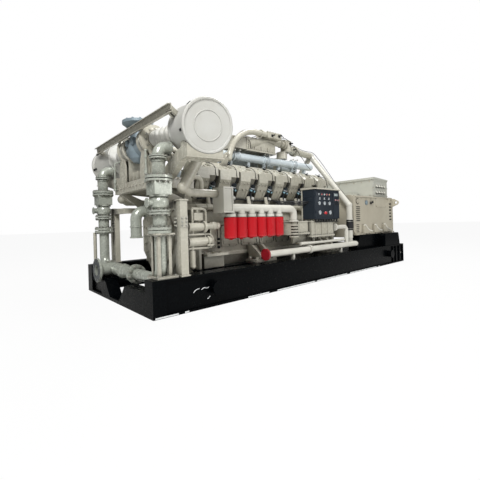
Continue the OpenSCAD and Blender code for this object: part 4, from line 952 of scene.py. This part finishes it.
def gill_lips():
    """Rolled lips on the alternator's side scoops, pale as a painted highlight along their edges."""
    routes, r = [], 0.366
    for side in BOTH:
        y = -(ALT_Y + 0.043) * side
        for x in (1.44, 1.84, 2.24):
            turns = (0.82, 0.6, 0.4, 0.2, 0.02)
            arc = [(x + 0.33 - r * math.sin(a), y, ALT_Z0 + 0.424 - r * math.cos(a)) for a in turns]
            routes.append([(x + 0.002, y, ALT_Z0 + 0.174)] + arc)
    return routed("gill_lips", routes, 0.0115, PAINTED_HIGHLIGHT_ENAMEL)


def vent_painted_shade():
    """Dark blocks set inside the alternator's side slots as painted shade."""
    bm = bmesh.new()
    rows = (
        (1.247, 1.387, 0.85, 0.036, 0.018, 8), (1.247, 1.349, 0.65, 0.032, 0.014, 5),
        (2.591, 2.689, 0.85, 0.064, 0.03, 6),
    )
    for side in BOTH:
        low, high = sorted((-(ALT_Y - 0.012) * side, -(ALT_Y - 0.039) * side))
        for x0, x1, z0, step, tall, n in rows:
            for i in range(n):
                block(bm, (x0, low, z0 + i * step + 0.001), (x1, high, z0 + i * step + tall - 0.001))
    return piece("vent_painted_shade", bm, DARK_STEEL)


def box_louvres():
    """Pale painted highlight on the slanted faces of the terminal box's hooded louvres, and dark blocks of painted
    shade in the openings under them.
    """
    faces, gaps = bmesh.new(), bmesh.new()
    for side in BOTH:
        for i in range(4):
            for z in (ALT_TOP + 0.084, ALT_TOP + 0.206):
                x = 2.17 + i * 0.106
                slope = math.atan2(0.03, 0.064)
                tilt = Matrix.Translation((x, -0.773 * side, z)) @ Matrix.Rotation(-slope * side, 4, "X")
                low, high = sorted((-0.0015 * side, 0.0005 * side))
                block(faces, (0.002, low, 0.002), (0.064, high, 0.04), 0, tilt)
                low, high = sorted((-0.772 * side, -0.745 * side))
                block(gaps, (x + 0.003, low, z - 0.01), (x + 0.063, high, z - 0.001))
    piece("louvre_opening_shade", gaps, DARK_STEEL)
    return piece("louvre_face_highlight", faces, PAINTED_HIGHLIGHT_ENAMEL)


def side_fittings():
    """Grey-blue cover and a small dark valve on the alternator's side."""
    cap, valve = bmesh.new(), bmesh.new()
    p = Vector((1.62, -ALT_Y, 1.193))
    bar(cap, p, NEAR, 0.045, 0.014, 28)
    bar(cap, p + NEAR * 0.014, NEAR, 0.036, 0.008, 28, 0.03)
    p = Vector((1.79, -ALT_Y, 1.19))
    bar(valve, p, NEAR, 0.016, 0.03, 12)
    bar(valve, p + Vector((-0.045, -0.03, -0.012)), (1, 0, 0.3), 0.014, 0.09, 12)
    bar(valve, p + Vector((0.03, -0.03, 0)), UP, 0.009, 0.035, 10)
    block(valve, p + Vector((0.0, -0.034, 0.032)), p + Vector((0.07, -0.026, 0.042)), 0.002)
    piece("side_cap", cap, FINISH["outlet_coat"])
    return piece("side_valve", valve, DARK_STEEL)


def rail_highlight_and_scratches():
    """Near-white painted highlight along the toe of the near rail, and scratches by the stub."""
    bm = bmesh.new()
    # painted highlight: strips along the toe where the lower flange's edge shows light
    toe_highlights = ((-2.765, -2.52), (-2.45, -2.4), (-1.6, -1.25), (-1.1, -0.3), (-0.25, 0.57), (0.66, 1.58), (1.66, 1.7))
    for x0, x1 in toe_highlights:
        block(bm, (x0, -Y_SIDE - 0.0008, 0.004), (x1, -Y_SIDE + 0.001, 0.019))
    piece("rail_highlight_and_scratches", bm, BARE_STEEL_AND_HIGHLIGHT)
    web = -Y_SIDE + 0.024
    scratches = [
        [(-2.33, web, 0.18), (-2.3, web, 0.205), (-2.26, web, 0.212)],
        [(-2.235, web, 0.196), (-2.2, web, 0.212), (-2.165, web, 0.204), (-2.14, web, 0.21)],
        [(-2.16, web, 0.09), (-2.14, web, 0.1), (-2.125, web, 0.115)],
    ]
    return routed("rail_scratches", scratches, 0.0035, BARE_STEEL_AND_HIGHLIGHT)


def base_bolts():
    bm = bmesh.new()
    for side in BOTH:
        for x, y, z in ((1.25, 0.78, DECK), (1.9, 0.78, DECK), (2.1, 0.93, DECK + 0.001), (2.58, 0.93, DECK + 0.001)):
            hex_bolt(bm, Vector((x, -y * side, z)), UP, 0.034)
        for x in (-2.4, -1.3, -0.2, 0.9, 1.8):
            hex_bolt(bm, Vector((x, -0.93 * side, DECK)), UP, 0.02)
    piece("base_bolts", bm, FINISH["frame_paint"])
    bright = bmesh.new()
    for side in BOTH:
        for x, z in ((2.35, 0.2), (2.66, 0.185)):
            hex_bolt(bright, Vector((x, -(Y_SIDE - 0.024) * side, z)), (0, -side, 0), 0.028)
    return piece("rail_end_bolts", bright, ZINC)


for make in (
    drum_latches, riser_bolts, gas_pipe_bolts, gas_flange_face, sleeve_ribs, outlet_bolts, turbo_fastenings,
    shelf_bolts, post_bolts, front_cover_bolts, head_bolts, cover_bolts, coil_bands, coil_leads, lead_clips,
    harness, head_elbows, manifold_clamps, housing_bolts, top_sensors, top_wires, mixer_bolts, block_bolts,
    dark_plugs, filter_trim, cooler_bolts, panel_fittings, hose_clamps, alternator_screws, gill_lips,
    vent_painted_shade, box_louvres, side_fittings, rail_highlight_and_scratches, base_bolts,
):
    make()


# ---- floor, light and camera ----
def floor():
    bm = bmesh.new()
    bmesh.ops.create_grid(bm, x_segments=1, y_segments=1, size=60)
    mesh = bpy.data.meshes.new("studio_floor")
    bm.to_mesh(mesh)
    bm.free()
    m = bpy.data.materials.new("white_studio_paper")
    t = empty_tree(m)
    # the camera sees it nearly white, with the set's shadow left in it
    paper = add(t, "BsdfDiffuse", {"Color": linear("#e6e6e4")})
    glow = add(t, "Emission", {"Color": (1, 1, 1, 1), "Strength": 1.0})
    seen = add(t, "LightPath")
    share = add(t, "Math", {0: seen.outputs["Is Camera Ray"], 1: 0.94}, operation="MULTIPLY").outputs[0]
    both = add(t, "MixShader", {0: share, 1: paper.outputs[0], 2: glow.outputs[0]})
    add(t, "OutputMaterial", {"Surface": both.outputs[0]})
    mesh.materials.append(m)
    new_object("studio_floor", mesh)


def lamp(name, place, target, size, power):
    data = bpy.data.lights.new(name, "AREA")
    data.shape = "RECTANGLE"
    data.size, data.size_y = size
    data.energy = power
    o = new_object(name, data)
    o.location = place
    o.rotation_euler = (Vector(target) - Vector(place)).to_track_quat("-Z", "Y").to_euler()


floor()
lamp("key_light", (-6.0, -4.6, 6.2), (-0.6, 0, 1.0), (2.2, 1.8), 500)
lamp("near_fill", (2.5, -7.5, 3.2), (0.6, 0, 0.9), (4.0, 2.0), 140)
lamp("top_light", (0.5, -0.6, 6.5), (0, 0, 1), (5.0, 1.6), 270)
lamp("rear_fill", (5.5, 6.0, 4.5), (0, 0, 1), (4.0, 3.0), 130)

world = bpy.data.worlds.new("studio")
wt = empty_tree(world)
seen = add(wt, "LightPath").outputs
# white to the eye, also through glass, and dim as a light
either = add(wt, "Math", {0: seen["Is Camera Ray"], 1: seen["Is Transmission Ray"]}, operation="MAXIMUM").outputs[0]
level = add(wt, "MapRange", {"Value": either, "To Min": 0.16, "To Max": 1.0}).outputs[0]
sky = add(wt, "Background", {"Color": (1, 1, 1, 1), "Strength": level})
add(wt, "OutputWorld", {"Surface": sky.outputs[0]})
bpy.context.scene.world = world

eye = bpy.data.cameras.new("camera")
eye.sensor_width = SENSOR_MM
eye.lens = FOCAL_PX / FRAME_PX * SENSOR_MM
eye.shift_y = -LOWERED_PX / FRAME_PX
eye.clip_start, eye.clip_end = 0.05, 200
camera = new_object("camera", eye)
turn = Matrix.Rotation(math.radians(EYE_HEADING - 90), 4, "Z") @ Matrix.Rotation(math.radians(90), 4, "X")
turn = turn @ Matrix.Rotation(math.radians(EYE_ROLL), 4, "Z")
camera.matrix_world = Matrix.Translation(EYE_PLACE) @ turn
bpy.context.scene.camera = camera
bpy.context.scene.view_settings.view_transform = "Standard"
